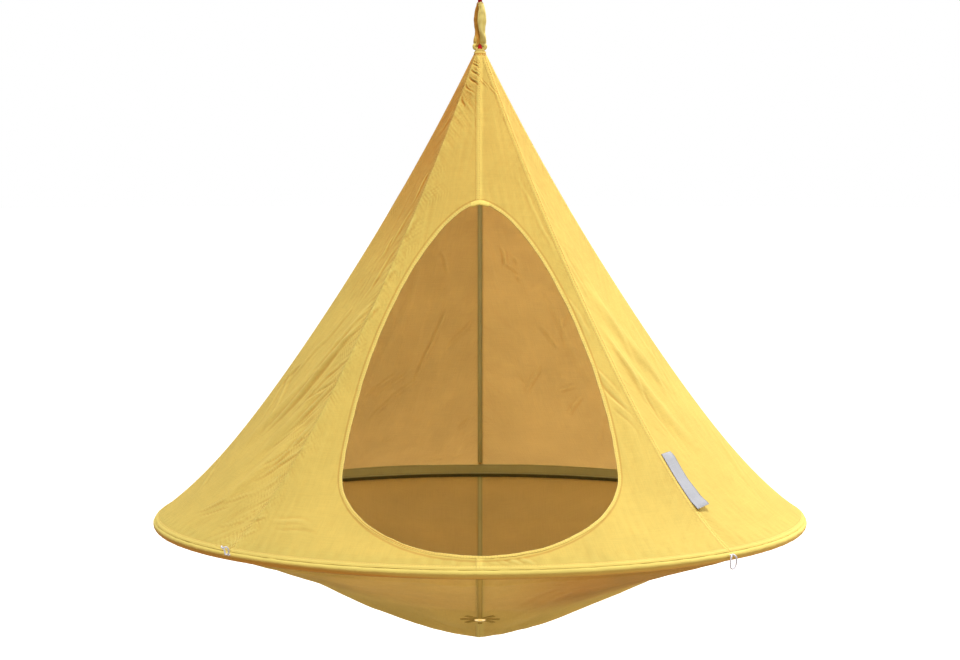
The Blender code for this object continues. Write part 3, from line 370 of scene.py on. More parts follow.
def loft_piece(name, sections, along, around, material, body, stands_for, close_rows=False,
               marks=None, sharp=40.0):
    """A solid through closed sections, with flat ends unless it closes on itself."""
    sections = np.asarray(sections, float)
    rows, columns = sections.shape[:2]
    index = np.arange(rows * columns).reshape(rows, columns)
    index = np.hstack([index, index[:, :1]])
    around = np.append(around, 2.0 * around[-1] - around[-2])
    if close_rows:
        index = np.vstack([index, index[:1]])
        along = np.append(along, 2.0 * along[-1] - along[-2])
    uv = together(around[None, :], along[:, None])
    corner, spots = ([grid[:-1, :-1], grid[:-1, 1:], grid[1:, 1:], grid[1:, :-1]]
                     for grid in (index, uv))
    faces = np.stack(corner, axis=-1).reshape(-1, 4)
    loop_uv = np.stack(spots, axis=-2).reshape(-1, 4, 2)
    vertices = sections.reshape(-1, 3)
    if not close_rows:
        for row, turned in ((0, False), (rows - 1, True)):
            middle = np.full(columns, len(vertices))
            vertices = np.vstack([vertices, sections[row].mean(axis=0)])
            first, second = index[row][:-1], index[row][1:]
            if not turned:
                first, second = second, first
            faces = np.concatenate([faces, np.stack([first, second, middle, middle], axis=-1)])
            loop_uv = np.concatenate([loop_uv, np.full((columns, 4, 2), uv[row].mean(axis=0))])
    tops = vertices[faces]
    volume = np.einsum("ij,ij->i", tops[:, 0], np.cross(tops[:, 1], tops[:, 2])).sum()
    volume += np.einsum("ij,ij->i", tops[:, 0], np.cross(tops[:, 2], tops[:, 3])).sum()
    if volume < 0.0:
        faces, loop_uv = faces[:, ::-1], loop_uv[:, ::-1]
    lists, face_uvs = [], []
    for face, face_uv in zip(faces.tolist(), loop_uv.tolist()):
        # The ends' faces are three-cornered, with one corner written twice
        corners = [k for k in range(4) if face[k] != face[k - 1]]
        lists.append([face[k] for k in corners])
        face_uvs += [face_uv[k] for k in corners]
    mesh = bpy.data.meshes.new(name)
    mesh.from_pydata(vertices.tolist(), [], lists)
    layer = mesh.uv_layers.new(name="cloth")
    layer.data.foreach_set("uv", np.array(face_uvs, dtype=np.float32).ravel())
    filled = {}
    for mark, value in (marks or {}).items():
        value = np.broadcast_to(value, (rows, columns)).ravel()
        filled[mark] = np.append(value, np.zeros(len(vertices) - value.size))
    return place_mesh(mesh, [material], body, stands_for, filled, sharp)


def line_lengths(points):
    """Length along a line at each of its points."""
    steps = np.linalg.norm(np.diff(points, axis=0), axis=-1)
    return np.concatenate([[0.0], np.cumsum(steps)])


# Materials. Thread and rib spacings are drawn about twice as coarse as the real ones, which are
# finer than the render can show.

CANVAS_PITCH, TAPE_PITCH, SLING_PITCH, LABEL_PITCH = 0.0013, 0.0016, 0.0012, 0.0008
BRAID_PITCH, BRAID_LEAN = 0.0011, math.radians(35.0)

# Settings that many nodes share, and the colours of the canvas's painted shade in furrows and painted
# highlight on ridges
TIMES, PLUS, MINUS, TIMES_PLUS = ({"operation": kind}
                                  for kind in ("MULTIPLY", "ADD", "SUBTRACT", "MULTIPLY_ADD"))
TINTED = {"data_type": "RGBA", "blend_type": "MULTIPLY", "Factor": 1.0}
PAINTED_FURROW_SHADE, PAINTED_RIDGE_HIGHLIGHT = linear("DBAD8E"), linear("FFEF9E")


def wave_scale(pitch):
    """Scale of a wave texture whose bands lie one pitch apart."""
    return math.tau / (20.0 * pitch)


def new_material(name):
    """A material with its node tree."""
    material = bpy.data.materials.new(name)
    material.use_nodes = True
    return material, material.node_tree


def fine_creases(tree, cloth):
    """Crumpling too fine for the mesh: streaks that lean away from the seam on either side, drawn both
    as relief and as painted shade and highlight.
    """
    swings = []
    for lean, mark in ((0.70, "creased_high"), (-0.70, "creased_low")):
        turned = node(tree, "Mapping", {"vector_type": "TEXTURE", "Rotation": (0.0, 0.0, lean),
                                        "Scale": (0.011, 0.085, 1.0)}, {"Vector": cloth})
        streak = node(tree, "TexNoise", {"Scale": 1.0, "Detail": 2.5, "Roughness": 0.55,
                                         "Distortion": 0.35}, {"Vector": turned}).outputs["Fac"]
        amount = node(tree, "Attribute", {"attribute_name": mark}).outputs["Fac"]
        centred = node(tree, "Math", {**MINUS, 1: 0.5}, {0: streak})
        swings.append(node(tree, "Math", TIMES, {0: centred, 1: amount}))
    return node(tree, "Math", PLUS, {0: swings[0], 1: swings[1]})


def folded(tree, colour, painted_light, painted_shade_colour=PAINTED_FURROW_SHADE):
    """Painted shade, deeper and warmer, in furrows and ditches, and a painted highlight along ridges."""
    deep = node(tree, "MapRange", {"From Max": -1.0}, {"Value": painted_light})
    high = node(tree, "MapRange", {"To Max": 0.60}, {"Value": painted_light})
    colour = node(tree, "Mix", {"data_type": "RGBA", "blend_type": "MULTIPLY", 7: (*painted_shade_colour, 1.0)},
                  {"Factor": deep, 6: colour}).outputs[2]
    return node(tree, "Mix", {"data_type": "RGBA", 7: (*PAINTED_RIDGE_HIGHLIGHT, 1.0)},
                {"Factor": high, 6: colour}).outputs[2]


def woven(name, face, light, pitch, glow, slub=0.00010, ribs=False, stitch=None, stitch_size=None,
          mottle=0.10, rough=0.85, creased=0.0, gloss=0.10, painted_shade_colour=PAINTED_FURROW_SHADE):
    """Woven cloth: threads across each other, uneven slubs, soft mottling and rows of stitches with
    painted shade beside them; creased cloth also gets painted shade and highlight along its folds.
    """
    made = bpy.data.materials.get(name)
    if made:
        return made
    material, tree = new_material(name)
    tree.nodes.clear()
    output = node(tree, "OutputMaterial")
    cloth = node(tree, "UVMap", {"uv_map": "cloth"})
    waves = [node(tree, "TexWave", {"bands_direction": way, "Scale": wave_scale(pitch),
                                    "Distortion": 1.2, "Detail": 2.0, "Detail Scale": 0.6},
                  {"Vector": cloth}).outputs["Fac"] for way in ("Y" if ribs else "XY")]
    threads = waves[0]
    if not ribs:
        threads = node(tree, "Math", TIMES, {0: waves[0], 1: waves[1]})
    yarns = []
    for scale in ((18.0, 500.0, 1.0), (500.0, 18.0, 1.0)):
        yarn = node(tree, "Mapping", {"Scale": scale}, {"Vector": cloth})
        yarn = node(tree, "TexNoise", {"Scale": 1.0, "Detail": 2.0}, {"Vector": yarn})
        yarns.append(yarn.outputs["Fac"])
    slubs = node(tree, "Math", PLUS, {0: yarns[0], 1: yarns[1]})
    cloud = node(tree, "TexNoise", {"Scale": 7.0, "Detail": 4.0, "Roughness": 0.6},
                 {"Vector": cloth}).outputs["Fac"]
    cloud_share = node(tree, "MapRange", {"From Min": 0.3, "From Max": 0.7, "To Min": 1.0 - mottle},
                       {"Value": cloud})
    thread_share = node(tree, "MapRange", {"From Max": 0.6, "To Min": 0.90}, {"Value": threads})
    slub_share = node(tree, "MapRange",
                      {"From Min": 0.7, "From Max": 1.3, "To Min": 0.95, "To Max": 1.03},
                      {"Value": slubs})
    shade = node(tree, "Math", TIMES, {0: cloud_share, 1: thread_share})
    shade = node(tree, "Math", TIMES, {0: shade, 1: slub_share})
    shade = node(tree, "CombineColor", {}, {0: shade, 1: shade, 2: shade})
    colour = node(tree, "Mix", {**TINTED, 6: (*face, 1.0)}, {7: shade}).outputs[2]
    relief = node(tree, "Math", {**TIMES, 1: 0.00010}, {0: threads})
    height = node(tree, "Math", {**TIMES_PLUS, 1: slub}, {0: slubs, 2: relief})
    painted_light = None
    # Creased cloth gets painted shade in furrows, painted highlight on ridges and painted shadow along
    # ditches
    if creased:
        crumple = fine_creases(tree, cloth)
        mark = node(tree, "Attribute", {"attribute_name": "painted_light"}).outputs["Fac"]
        mark = node(tree, "Math", {**TIMES, 1: creased}, {0: mark})
        painted_light = node(tree, "Math", {**TIMES_PLUS, 1: 1.5 * creased},
                    {0: crumple, 2: mark})
        # A painted shadow line lies where the upper cloth ends; this mark is 1 more than the way from
        # that line
        painted_ditch_shadow = node(tree, "Attribute", {"attribute_name": "painted_ditch_shadow"}).outputs["Fac"]
        painted_ditch_shadow = node(tree, "Math", {**MINUS, 1: 1.0}, {0: painted_ditch_shadow})
        painted_ditch_shadow = node(tree, "Math", {"operation": "ABSOLUTE"}, {0: painted_ditch_shadow})
        painted_ditch_shadow = node(tree, "MapRange", {"From Min": 0.0003, "From Max": 0.0026, "To Min": 0.5,
                                        "To Max": 0.0}, {"Value": painted_ditch_shadow})
        painted_light = node(tree, "Math", MINUS, {0: painted_light, 1: painted_ditch_shadow})
        colour = folded(tree, colour, painted_light, painted_shade_colour)
        height = node(tree, "Math", {**TIMES_PLUS, 1: 0.0022}, {0: crumple, 2: height})
    if stitch:
        stitch_size = stitch_size or sizes().stitch
        away = node(tree, "Attribute", {"attribute_name": "stitch"}).outputs["Fac"]
        run = node(tree, "Attribute", {"attribute_name": "run"}).outputs["Fac"]
        beat = node(tree, "Math", {"operation": "MODULO", 1: stitch_size}, {0: run})
        dash = node(tree, "Math", {"operation": "LESS_THAN", 1: 0.70 * stitch_size}, {0: beat})
        row = node(tree, "MapRange", {"From Min": 0.0004, "From Max": 0.0011, "To Min": 1.0,
                                      "To Max": 0.0}, {"Value": away})
        thread = node(tree, "Math", TIMES, {0: dash, 1: row})
        pull = node(tree, "MapRange", {"From Max": 0.0024, "To Min": -0.00050, "To Max": 0.0},
                    {"Value": away})
        # Painted shade in the groove that each row of stitches pulls into the cloth
        dark = node(tree, "MapRange", {"From Min": 0.0005, "From Max": 0.0022, "To Min": 0.80},
                    {"Value": away})
        dark = node(tree, "CombineColor", {}, {0: dark, 1: dark, 2: dark})
        colour = node(tree, "Mix", TINTED,
                      {6: colour, 7: dark}).outputs[2]
        colour = node(tree, "Mix", {"data_type": "RGBA", 7: (*stitch, 1.0)},
                      {"Factor": thread, 6: colour}).outputs[2]
        raised = node(tree, "Math", {**TIMES_PLUS, 1: 0.00035}, {0: thread, 2: pull})
        height = node(tree, "Math", PLUS, {0: height, 1: raised})
    bump = node(tree, "Bump", {"Strength": 1.0, "Distance": 1.0}, {"Height": height})
    surface = node(tree, "BsdfPrincipled", {
        "Roughness": rough, "Specular IOR Level": gloss, "Sheen Weight": 0.3 * gloss,
        "Sheen Roughness": 0.5}, {"Base Color": colour, "Normal": bump})
    if glow > 0.0:
        layers = node(tree, "Attribute", {"attribute_name": "doubled"}).outputs["Fac"]
        share = node(tree, "MapRange", {"To Min": glow, "To Max": 0.12 * glow}, {"Value": layers})
        tint = node(tree, "Mix", {**TINTED, 6: (*light, 1.0)}, {7: shade}).outputs[2]
        # Light through the cloth gets the same painted shade and highlight
        if creased:
            tint = folded(tree, tint, painted_light)
        through = node(tree, "BsdfTranslucent", {}, {"Color": tint, "Normal": bump})
        surface = node(tree, "MixShader", {}, {0: share, 1: surface, 2: through})
    tree.links.new(surface.outputs[0], output.inputs["Surface"])
    return material


def colours():
    """The add-on's colours."""
    return bpy.context.scene.hammock_colours


def sizes():
    """The add-on's sizes."""
    return bpy.context.scene.hammock_sizes


def canvas():
    """Plain-woven canvas, matt, with light coming warmly through it."""
    c = colours()
    return woven("yellow_canvas", c.canvas, c.canvas_light, CANVAS_PITCH, c.canvas_glow,
                 stitch=c.thread, creased=1.0)


def canvas_inside():
    """The canvas's inner face, which hands on most of what has come through the outer one."""
    c = colours()
    # The inner face's paler colour is painted light on the inside of the canopy
    return woven("yellow_canvas_inside", c.canvas_inner, c.inner_light, CANVAS_PITCH, c.inner_glow,
                 stitch=c.thread, creased=0.45, mottle=0.05)


def canvas_floor():
    """The bowl's inner face: the same canvas, drawn paler as painted light on the inside of the bowl."""
    c = colours()
    return woven("yellow_canvas_floor", c.canvas_floor, c.inner_light, CANVAS_PITCH, c.floor_share,
                 stitch=c.thread, creased=0.45)


def canvas_bowl():
    """The bowl's outer face: the same canvas, browner in its shade, away from the light."""
    c = colours()
    return woven("yellow_canvas_bowl", c.canvas, c.canvas_light, CANVAS_PITCH, c.canvas_glow,
                 stitch=c.thread, creased=1.0, painted_shade_colour=linear("D4BCA2"))


def olive_tape():
    """Ribbed olive tape, woven across, a little lighter on its ribs."""
    c = colours()
    # Its darkest colour is the painted shadow at the rim band's foot; creasing paints shade and
    # highlight
    return woven("olive_tape", c.olive, c.olive, TAPE_PITCH, 0.10, ribs=True, stitch=c.olive_thread,
                 creased=0.3, painted_shade_colour=linear("6F6F59"))


def olive_webbing():
    """Deeper olive webbing for the strap and star under the bowl, ribbed across its width."""
    c = colours()
    return woven("strap_webbing_olive", c.webbing, c.webbing, TAPE_PITCH, 0.0, ribs=True,
                 stitch=c.webbing, gloss=0.01)


def red_webbing():
    """Dark red webbing, ribbed across its width."""
    c = colours()
    return woven("sling_webbing_red", c.red, c.red, SLING_PITCH, 0.0, ribs=True)


def label_cloth():
    """A grey satin-woven label with nothing on it, fine threads and a slight gloss."""
    c = colours()
    return woven("grey_label_cloth", c.label, c.label, LABEL_PITCH, 0.12, slub=0.00005,
                 stitch=c.label_edge, stitch_size=0.0020, mottle=0.05, rough=0.6)


def braided_cord():
    """Pale braided nylon cord: two sets of strands crossing round it."""
    made = bpy.data.materials.get("pale_braided_cord")
    if made:
        return made
    material, tree = new_material("pale_braided_cord")
    shader = tree.nodes["Principled BSDF"]
    cloth = node(tree, "UVMap", {"uv_map": "cloth"})
    waves = []
    for lean in (BRAID_LEAN, -BRAID_LEAN):
        turned = node(tree, "Mapping", {"Rotation": (0.0, 0.0, lean)}, {"Vector": cloth})
        waves.append(node(tree, "TexWave", {"Scale": wave_scale(BRAID_PITCH)},
                          {"Vector": turned}).outputs["Fac"])
    braid = node(tree, "Math", {"operation": "MAXIMUM"}, {0: waves[0], 1: waves[1]})
    # The greyer colour between the crossing strands is painted shade in the braid's hollows
    colour = node(tree, "Mix", {"data_type": "RGBA", 6: (*linear("A9A6B8"), 1.0),
                                7: (*colours().cord, 1.0)}, {"Factor": braid})
    bump = node(tree, "Bump", {"Strength": 1.0, "Distance": 0.0003}, {"Height": braid})
    tree.links.new(colour.outputs[2], shader.inputs["Base Color"])
    tree.links.new(bump.outputs[0], shader.inputs["Normal"])
    shader.inputs["Roughness"].default_value = 0.55
    return material


def metal(name, colour, rough, grain, stretch):
    """Metal with fine working marks: drawn along a tube, or spread evenly over an eyelet."""
    made = bpy.data.materials.get(name)
    if made:
        return made
    material, tree = new_material(name)
    shader = tree.nodes["Principled BSDF"]
    place = node(tree, "TexCoord").outputs["Object"]
    spread = node(tree, "Mapping", {"Scale": stretch}, {"Vector": place})
    marks = node(tree, "TexNoise", {"Scale": grain, "Detail": 5.0}, {"Vector": spread}).outputs["Fac"]
    wear = node(tree, "TexNoise", {"Scale": 90.0, "Detail": 3.0}, {"Vector": place}).outputs["Fac"]
    uneven = node(tree, "MapRange", {"From Min": 0.3, "From Max": 0.7, "To Min": rough - 0.06,
                                     "To Max": rough + 0.10}, {"Value": marks})
    tone = node(tree, "Mix", {"data_type": "RGBA", 6: (*(0.78 * v for v in colour), 1.0),
                              7: (*colour, 1.0)}, {"Factor": wear})
    bump = node(tree, "Bump", {"Strength": 0.25, "Distance": 0.0002}, {"Height": marks})
    tree.links.new(tone.outputs[2], shader.inputs["Base Color"])
    tree.links.new(uneven.outputs[0], shader.inputs["Roughness"])
    tree.links.new(bump.outputs[0], shader.inputs["Normal"])
    shader.inputs["Metallic"].default_value = 1.0
    return material


def brass():
    """Rolled brass, bright where the press left it smooth."""
    return metal("rolled_brass", colours().brass, 0.26, 900.0, (1.0, 1.0, 1.0))


def aluminium():
    """Drawn aluminium tube, with faint lines from the die."""
    return metal("drawn_aluminium", colours().aluminium, 0.34, 500.0, (1.0, 1.0, 12.0))


# The canopy's surface

def profile_end():
    """Radius and height where the cone's cloth lies against the rim, tangent to the sleeve."""
    reach = SLEEVE_OUTER + CLOTH + GAP
    radius, height = RING_RADIUS, reach
    flare = 1.0 - STRAIGHT_SHARE - BELLY_SHARE
    for _ in range(8):
        out = (radius - TIP_RADIUS) * (STRAIGHT_SHARE + 2.0 * BELLY_SHARE + FLARE_POWER * flare)
        angle = math.atan2(out, CANOPY_HEIGHT - height)
        radius = RING_RADIUS + reach * math.cos(angle)
        height = reach * math.sin(angle)
    return radius, height


RIM_CLOTH_RADIUS, RIM_CLOTH_HEIGHT = profile_end()


def seam_radius(share):
    """Radius of a seam by the share of the way down from the tip to the rim."""
    flare = 1.0 - STRAIGHT_SHARE - BELLY_SHARE
    return TIP_RADIUS + (RIM_CLOTH_RADIUS - TIP_RADIUS) * (
        STRAIGHT_SHARE * share + BELLY_SHARE * share ** 2 + flare * share ** FLARE_POWER)


def share_at(height):
    """Share of the way down from the tip to the rim, at a height over the ring's plane."""
    return (CANOPY_HEIGHT - height) / (CANOPY_HEIGHT - RIM_CLOTH_HEIGHT)


def height_at(share):
    """Height over the ring's plane at a share."""
    return CANOPY_HEIGHT - share * (CANOPY_HEIGHT - RIM_CLOTH_HEIGHT)


SHARES = np.linspace(0.0, 1.0, 2001)
SLANTS = np.concatenate([[0.0], np.cumsum(np.hypot(np.diff(seam_radius(SHARES)),
                                                   np.diff(height_at(SHARES))))])
SLANT = SLANTS[-1]


def slant_at(share):
    """Length of cloth from the tip down to a share."""
    return np.interp(share, SHARES, SLANTS)


def share_of_slant(slant):
    """Share at a length of cloth from the tip."""
    return np.interp(slant, SLANTS, SHARES)


def facet_radius(angle, share):
    """Eight flats near the tip, round at the rim."""
    off_middle = np.mod(angle, GORE_ANGLE) - 0.5 * GORE_ANGLE
    flat = math.cos(0.5 * GORE_ANGLE) / np.cos(off_middle)
    return seam_radius(share) * (1.0 + (1.0 - share ** 3) * (flat - 1.0))


def outward(angle, share):
    """Outward normal of a seam line in its upright plane."""
    step = 0.001
    fall = step * (CANOPY_HEIGHT - RIM_CLOTH_HEIGHT)
    slope = np.arctan2(seam_radius(share) - seam_radius(share - step), fall)
    return np.stack([np.cos(slope) * np.sin(angle), -np.cos(slope) * np.cos(angle),
                     np.sin(slope)], axis=-1)


def bare_canopy(angle, share):
    """The canopy's face before anything creases it."""
    return rim_point(angle, facet_radius(angle, share), height_at(share))


def gore_width(share):
    """Width of one gore's cloth at a share."""
    flat = 2.0 * seam_radius(share) * math.sin(0.5 * GORE_ANGLE)
    return flat * (1.0 + 0.026 * share ** 3)


def more_creases():
    """Creases for the sides and back that the photograph doesn't show, made like those in front."""
    chance = random.Random(11)
    found = []
    for seam in (90.0, 135.0, -90.0, -135.0):
        for way in (-1.0, 1.0):
            for _ in range(3):
                height = chance.uniform(0.12, 0.78)
                start = seam + way * chance.uniform(1.0, 5.0)
                reach = way * chance.uniform(8.0, 19.0)
                fall = chance.uniform(0.09, 0.22)
                found.append((start, height, start + reach, max(0.05, height - fall),
                              chance.uniform(9.0, 14.0), chance.choice((-0.9, 1.0, 1.2, 1.5))))
    for angle in (70.0, 82.0, 112.0, 125.0, 150.0, -100.0, -118.0, -150.0):
        lean = chance.uniform(-6.0, 6.0)
        found.append((angle, chance.uniform(0.45, 0.62), angle + lean, chance.uniform(0.2, 0.36),
                      chance.uniform(12.0, 16.0), chance.uniform(0.9, 1.5)))
    return found


def crease_lift(points, normals, angle, share):
    """How far the creases stand out at points of the bare canopy."""
    lift = np.zeros(share.shape)
    middle = 0.5 * (angle.min() + angle.max())
    for a_1, h_1, a_2, h_2, wide, stand in list(CREASES) + more_creases():
        ends = np.radians([a_1, a_2])
        ends = ends + math.tau * np.round((middle - ends.mean()) / math.tau)
        if ends.max() < angle.min() - 0.12 or ends.min() > angle.max() + 0.12:
            continue
        start, stop = bare_canopy(ends[0], share_at(h_1)), bare_canopy(ends[1], share_at(h_2))
        way, length = unit(stop - start), np.linalg.norm(stop - start)
        offset = points - start
        along = offset @ way / length
        near = (along > 0.0) & (along < 1.0)
        if not near.any():
            continue
        side = unit(np.cross(normals[near], way))
        t = along[near]
        aside = np.einsum("ij,ij->i", offset[near], side)
        width = max(0.00072 * wide, 0.0015 if h_1 > 0.88 else 0.0042)
        aside = aside + width * (0.35 * np.sin(5.0 * t + 31.0 * h_1) + 0.45 * np.sin(2.2 * t * math.pi))
        ridge = np.exp(-(aside / width) ** 2)
        furrow = 0.42 * np.exp(-((aside - 1.7 * width) / (1.1 * width)) ** 2)
        taper = np.sin(math.pi * t ** 0.8) ** 1.2
        lift[near] += 0.00125 * stand * taper * (ridge - furrow)
    return lift * sizes().crease_depth


def fold_lift(angle, share):
    """The large folds of the model's own canopy."""
    height = height_at(share)
    lift = np.zeros(share.shape)
    turned = np.mod(angle + math.pi, math.tau) - math.pi
    for (a_1, h_1), (a_2, h_2), half_width, stand in LARGE_FOLDS:
        along = (h_1 - height) / (h_1 - h_2)
        ridge = np.radians(a_1 + along * (a_2 - a_1))
        aside = seam_radius(share) * (turned - ridge) / half_width
        inside = (along > 0.0) & (along < 1.0)
        bend = np.sin(math.pi * np.clip(along, 0.0, 1.0)) * np.exp(-aside * aside)
        lift += np.where(inside, stand * bend, 0.0)
    near_seam = np.abs(np.mod(angle + 0.5 * GORE_ANGLE, GORE_ANGLE) - 0.5 * GORE_ANGLE)
    return lift * np.minimum(1.0, near_seam / math.radians(7.0))


def pucker_lift(seam, distance, slant, share, before):
    """Gathers that the stitching pulls into the cloth beside a seam, before or after it."""
    height = height_at(share)
    strong = {7: 1.5, 1: 0.7, 0: 0.35}.get(seam, 0.9) * sizes().pucker_depth
    pitch, lean, reach = 0.0115, 0.0, 0.011
    if seam == 7 and before:
        strong = strong * (0.30 + 0.90 * ease(height, 0.62, 0.34))
        lean, reach = 1.05, 0.020 + 0.016 * ease(height, 0.62, 0.40)
    elif seam == 7:
        strong, lean, reach = 0.7 * strong, -0.9, 0.014
    elif seam == 1:
        strong = strong * (0.6 + 1.6 * ease(height, 0.13, 0.05))
        lean = -0.8 if before else 0.8
    elif seam > 1:
        lean, reach = (0.9 if before else -0.9), 0.016
    swell = 0.50 + 0.50 * cloth_noise(slant / 0.05, 0.5, 70 + seam)
    gap = slant - lean * distance
    beat = gap / pitch + 1.3 * cloth_noise(gap / 0.03, 0.0, 50 + seam)
    wave = np.sin(math.tau * beat) + 0.4 * np.sin(math.tau * 0.47 * beat + 1.0)
    start = 0.45 + 0.55 * ease(distance, 0.0, 0.005)
    at_seam = np.exp(-distance / 0.004)
    common = np.sin(math.tau * (slant / pitch + 1.3 * cloth_noise(slant / 0.03, 0.0, 50 + seam)))
    wave = wave * (1.0 - at_seam) + common * at_seam
    base = {7: 0.7, 1: 0.5}.get(seam, 0.5) * sizes().pucker_depth
    size = strong * start * (1.0 - at_seam) + 0.45 * base * at_seam
    size = size * ease(slant, 0.06, 0.20)
    return size * swell * wave * np.exp(-distance / (reach * (0.7 + 0.6 * swell)))


def cloth_lift(angle, share):
    """All that moves the cloth out of its bare shape, except the seams' own thickness."""
    shape = share.shape
    flat_angle, flat_share = angle.ravel(), share.ravel()
    points = bare_canopy(flat_angle, flat_share)
    normals = outward(flat_angle, flat_share)
    slant = slant_at(flat_share)
    width = gore_width(flat_share)
    place = flat_angle / GORE_ANGLE
    gore = np.floor(place)
    low = (place - gore) * width
    high = width - low
    side = np.minimum(low, high)
    x = (flat_angle - (gore + 0.5) * GORE_ANGLE) * seam_radius(flat_share)
    phase = 3.7 * np.mod(gore, GORES)
    from_rim = SLANT - slant
    calm = ease(side, 0.0, SEAM_FADE) * ease(from_rim, 0.0, 0.07)
    lift = 0.0026 * calm * cloth_noise(x / 0.15 + phase, slant / 0.24 + phase, 3)
    lift += 0.0011 * calm * cloth_noise((x + 0.35 * slant) / 0.055 + phase, slant / 0.15, 4)
    clear = ease(side, 0.0, 0.02)
    lift += 0.00032 * clear * ease(slant, 0.1, 0.2) * cloth_noise(x / 0.011 + phase, slant / 0.20, 5)
    lift += 0.00022 * clear * cloth_noise(x / 0.03, slant / 0.014 + phase, 6)
    gathers = np.sin(137.0 * flat_angle + 1.3 * np.sin(5.0 * flat_angle)
                     + 0.9 * np.sin(11.0 * flat_angle + 1.0))
    lift += 0.00045 * gathers * np.exp(-((from_rim - 0.022) / 0.014) ** 2)
    lift += fold_lift(flat_angle, flat_share)
    lift += crease_lift(points, normals, flat_angle, flat_share)
    for seam in range(GORES):
        for index, distance, before in ((seam, low, False), ((seam - 1) % GORES, high, True)):
            here = np.mod(gore, GORES) == index
            if here.any():
                lift[here] += pucker_lift(seam, distance[here], slant[here], flat_share[here], before)
    lift *= ease(slant, 0.0, 0.03)
    return lift.reshape(shape)


def canopy_face(angle, share, raised=0.0):
    """Points of the creased canopy, raised by that much more."""
    lift = cloth_lift(angle, share) + raised
    return bare_canopy(angle, share) + lift[..., None] * outward(angle, share)


def door_outline(steps):
    """The door's edge as pairs of distance from the middle and height, evenly spaced."""
    half, lower, upper = 0.5 * DOOR_WIDTH, DOOR_WIDEST - DOOR_BOTTOM, DOOR_TOP - DOOR_WIDEST
    turn = np.linspace(0.0, 0.5 * math.pi, 6 * steps + 1)
    rise = np.sin(turn)
    right = np.concatenate([
        np.stack([half * np.sin(turn) ** DOOR_ROUNDNESS,
                  DOOR_WIDEST - lower * np.maximum(np.cos(turn), 0.0) ** DOOR_ROUNDNESS], axis=-1),
        np.stack([half * np.maximum(1.0 - rise ** DOOR_SHOULDER, 0.0) ** DOOR_POINT,
                  DOOR_WIDEST + upper * rise], axis=-1)[1:]])
    left = right[-2:0:-1] * np.array([-1.0, 1.0])
    fine = np.concatenate([right, left, right[:1]])
    lengths = line_lengths(fine)
    wanted = np.linspace(0.0, lengths[-1], steps, endpoint=False)
    return np.stack([np.interp(wanted, lengths, fine[:, k]) for k in (0, 1)], axis=-1)


def angle_of_x(x, share):
    """Angle from the front of the canopy's point at a sideways distance."""
    angle = np.zeros(np.shape(share))
    for _ in range(30):
        angle = np.arcsin(np.clip(x / facet_radius(angle, share), -1.0, 1.0))
    return angle


def door_distance(x, height, outline):
    """Distance of points outside the door's edge, seen from the front, and the nearest edge places."""
    ends = np.roll(outline, -1, axis=0)
    step = ends - outline
    spots = np.stack([x, height], axis=-1)
    best = np.full(x.shape, 9.0)
    nearest = np.zeros(spots.shape)
    inside = np.zeros(x.shape, bool)
    for start, stop, along in zip(outline, ends, step):
        t = np.clip(((spots - start) @ along) / (along @ along), 0.0, 1.0)
        spot = start + t[:, None] * along
        gap = np.linalg.norm(spots - spot, axis=-1)
        closer = gap < best
        best[closer] = gap[closer]
        nearest[closer] = spot[closer]
        if start[1] != stop[1]:
            crossing = (start[1] > height) != (stop[1] > height)
            inside ^= crossing & (x < start[0] + (height - start[1]) / along[1] * along[0])
    return np.where(inside, -best, best), nearest


SEAM_ZONE = 0.018       # beside its seams a gore's mesh is fine over this width
SEAM_ROWS, HEM_ROW = (0.0015, 0.0075), 0.0085       # rows of stitches, from the seam and from the rim
DOOR_CUT = 0.003        # the cloth ends this far outside the door's edge, inside its binding
RIGHT_OF_DOOR, LEFT_SIDE, LEFT_OF_DOOR = 0, GORES - 2, GORES - 1
STRIP_RISES = {LEFT_OF_DOOR: 0.55, LEFT_SIDE: 0.15, RIGHT_OF_DOOR: 0.25}


def gore_columns(fine):
    """Places across a gore at its widest: close together at both seams, even between."""
    width = gore_width(1.0)
    low = [0.0, 0.003, 0.007, 0.012, SEAM_ZONE]
    high = [0.0, 0.0015, 0.0030, 0.0045, 0.0060, 0.0075, 0.0088, 0.0097, 0.0106, 0.0140, SEAM_ZONE]
    middle = np.linspace(low[-1], width - high[-1], fine)[1:-1]
    return np.concatenate([low, middle, [width - d for d in high[::-1]]]), width


def gore_name(index):
    """A gore's place in the names of the model's nodes."""
    side = "right" if index < GORES // 2 else "left"
    place = index if index < GORES // 2 else GORES - 1 - index
    return ("front", "front_side", "back_side", "back")[place] + "_" + side


def gore_grid(index):
    """Angles and shares over a gore, close together at its seams, tip and hem."""
    columns, reference = gore_columns(77)
    slants = np.concatenate([np.arange(0.0, 0.13, 0.0016), np.linspace(0.13, SLANT, 240), SLANT
                             - np.array([0.0125, 0.0115, 0.010, 0.0085, 0.0055, 0.004, 0.0025])])
    share = share_of_slant(np.unique(slants))[:, None]
    width = gore_width(share)
    narrowed = np.minimum(1.0, width / 0.080)
    zone = SEAM_ZONE * narrowed
    spread = (width - zone - zone) / (reference - 2.0 * SEAM_ZONE)
    position = np.where(columns <= SEAM_ZONE, columns * narrowed, zone + (columns - SEAM_ZONE) * spread)
    position = np.where(columns >= reference - SEAM_ZONE, width - (reference - columns) * narrowed,
                        position)
    angle = (index + position / width) * GORE_ANGLE
    angle = np.clip(angle, index * GORE_ANGLE + BARELY, (index + 1) * GORE_ANGLE - BARELY)
    return angle, np.broadcast_to(share, angle.shape).copy()


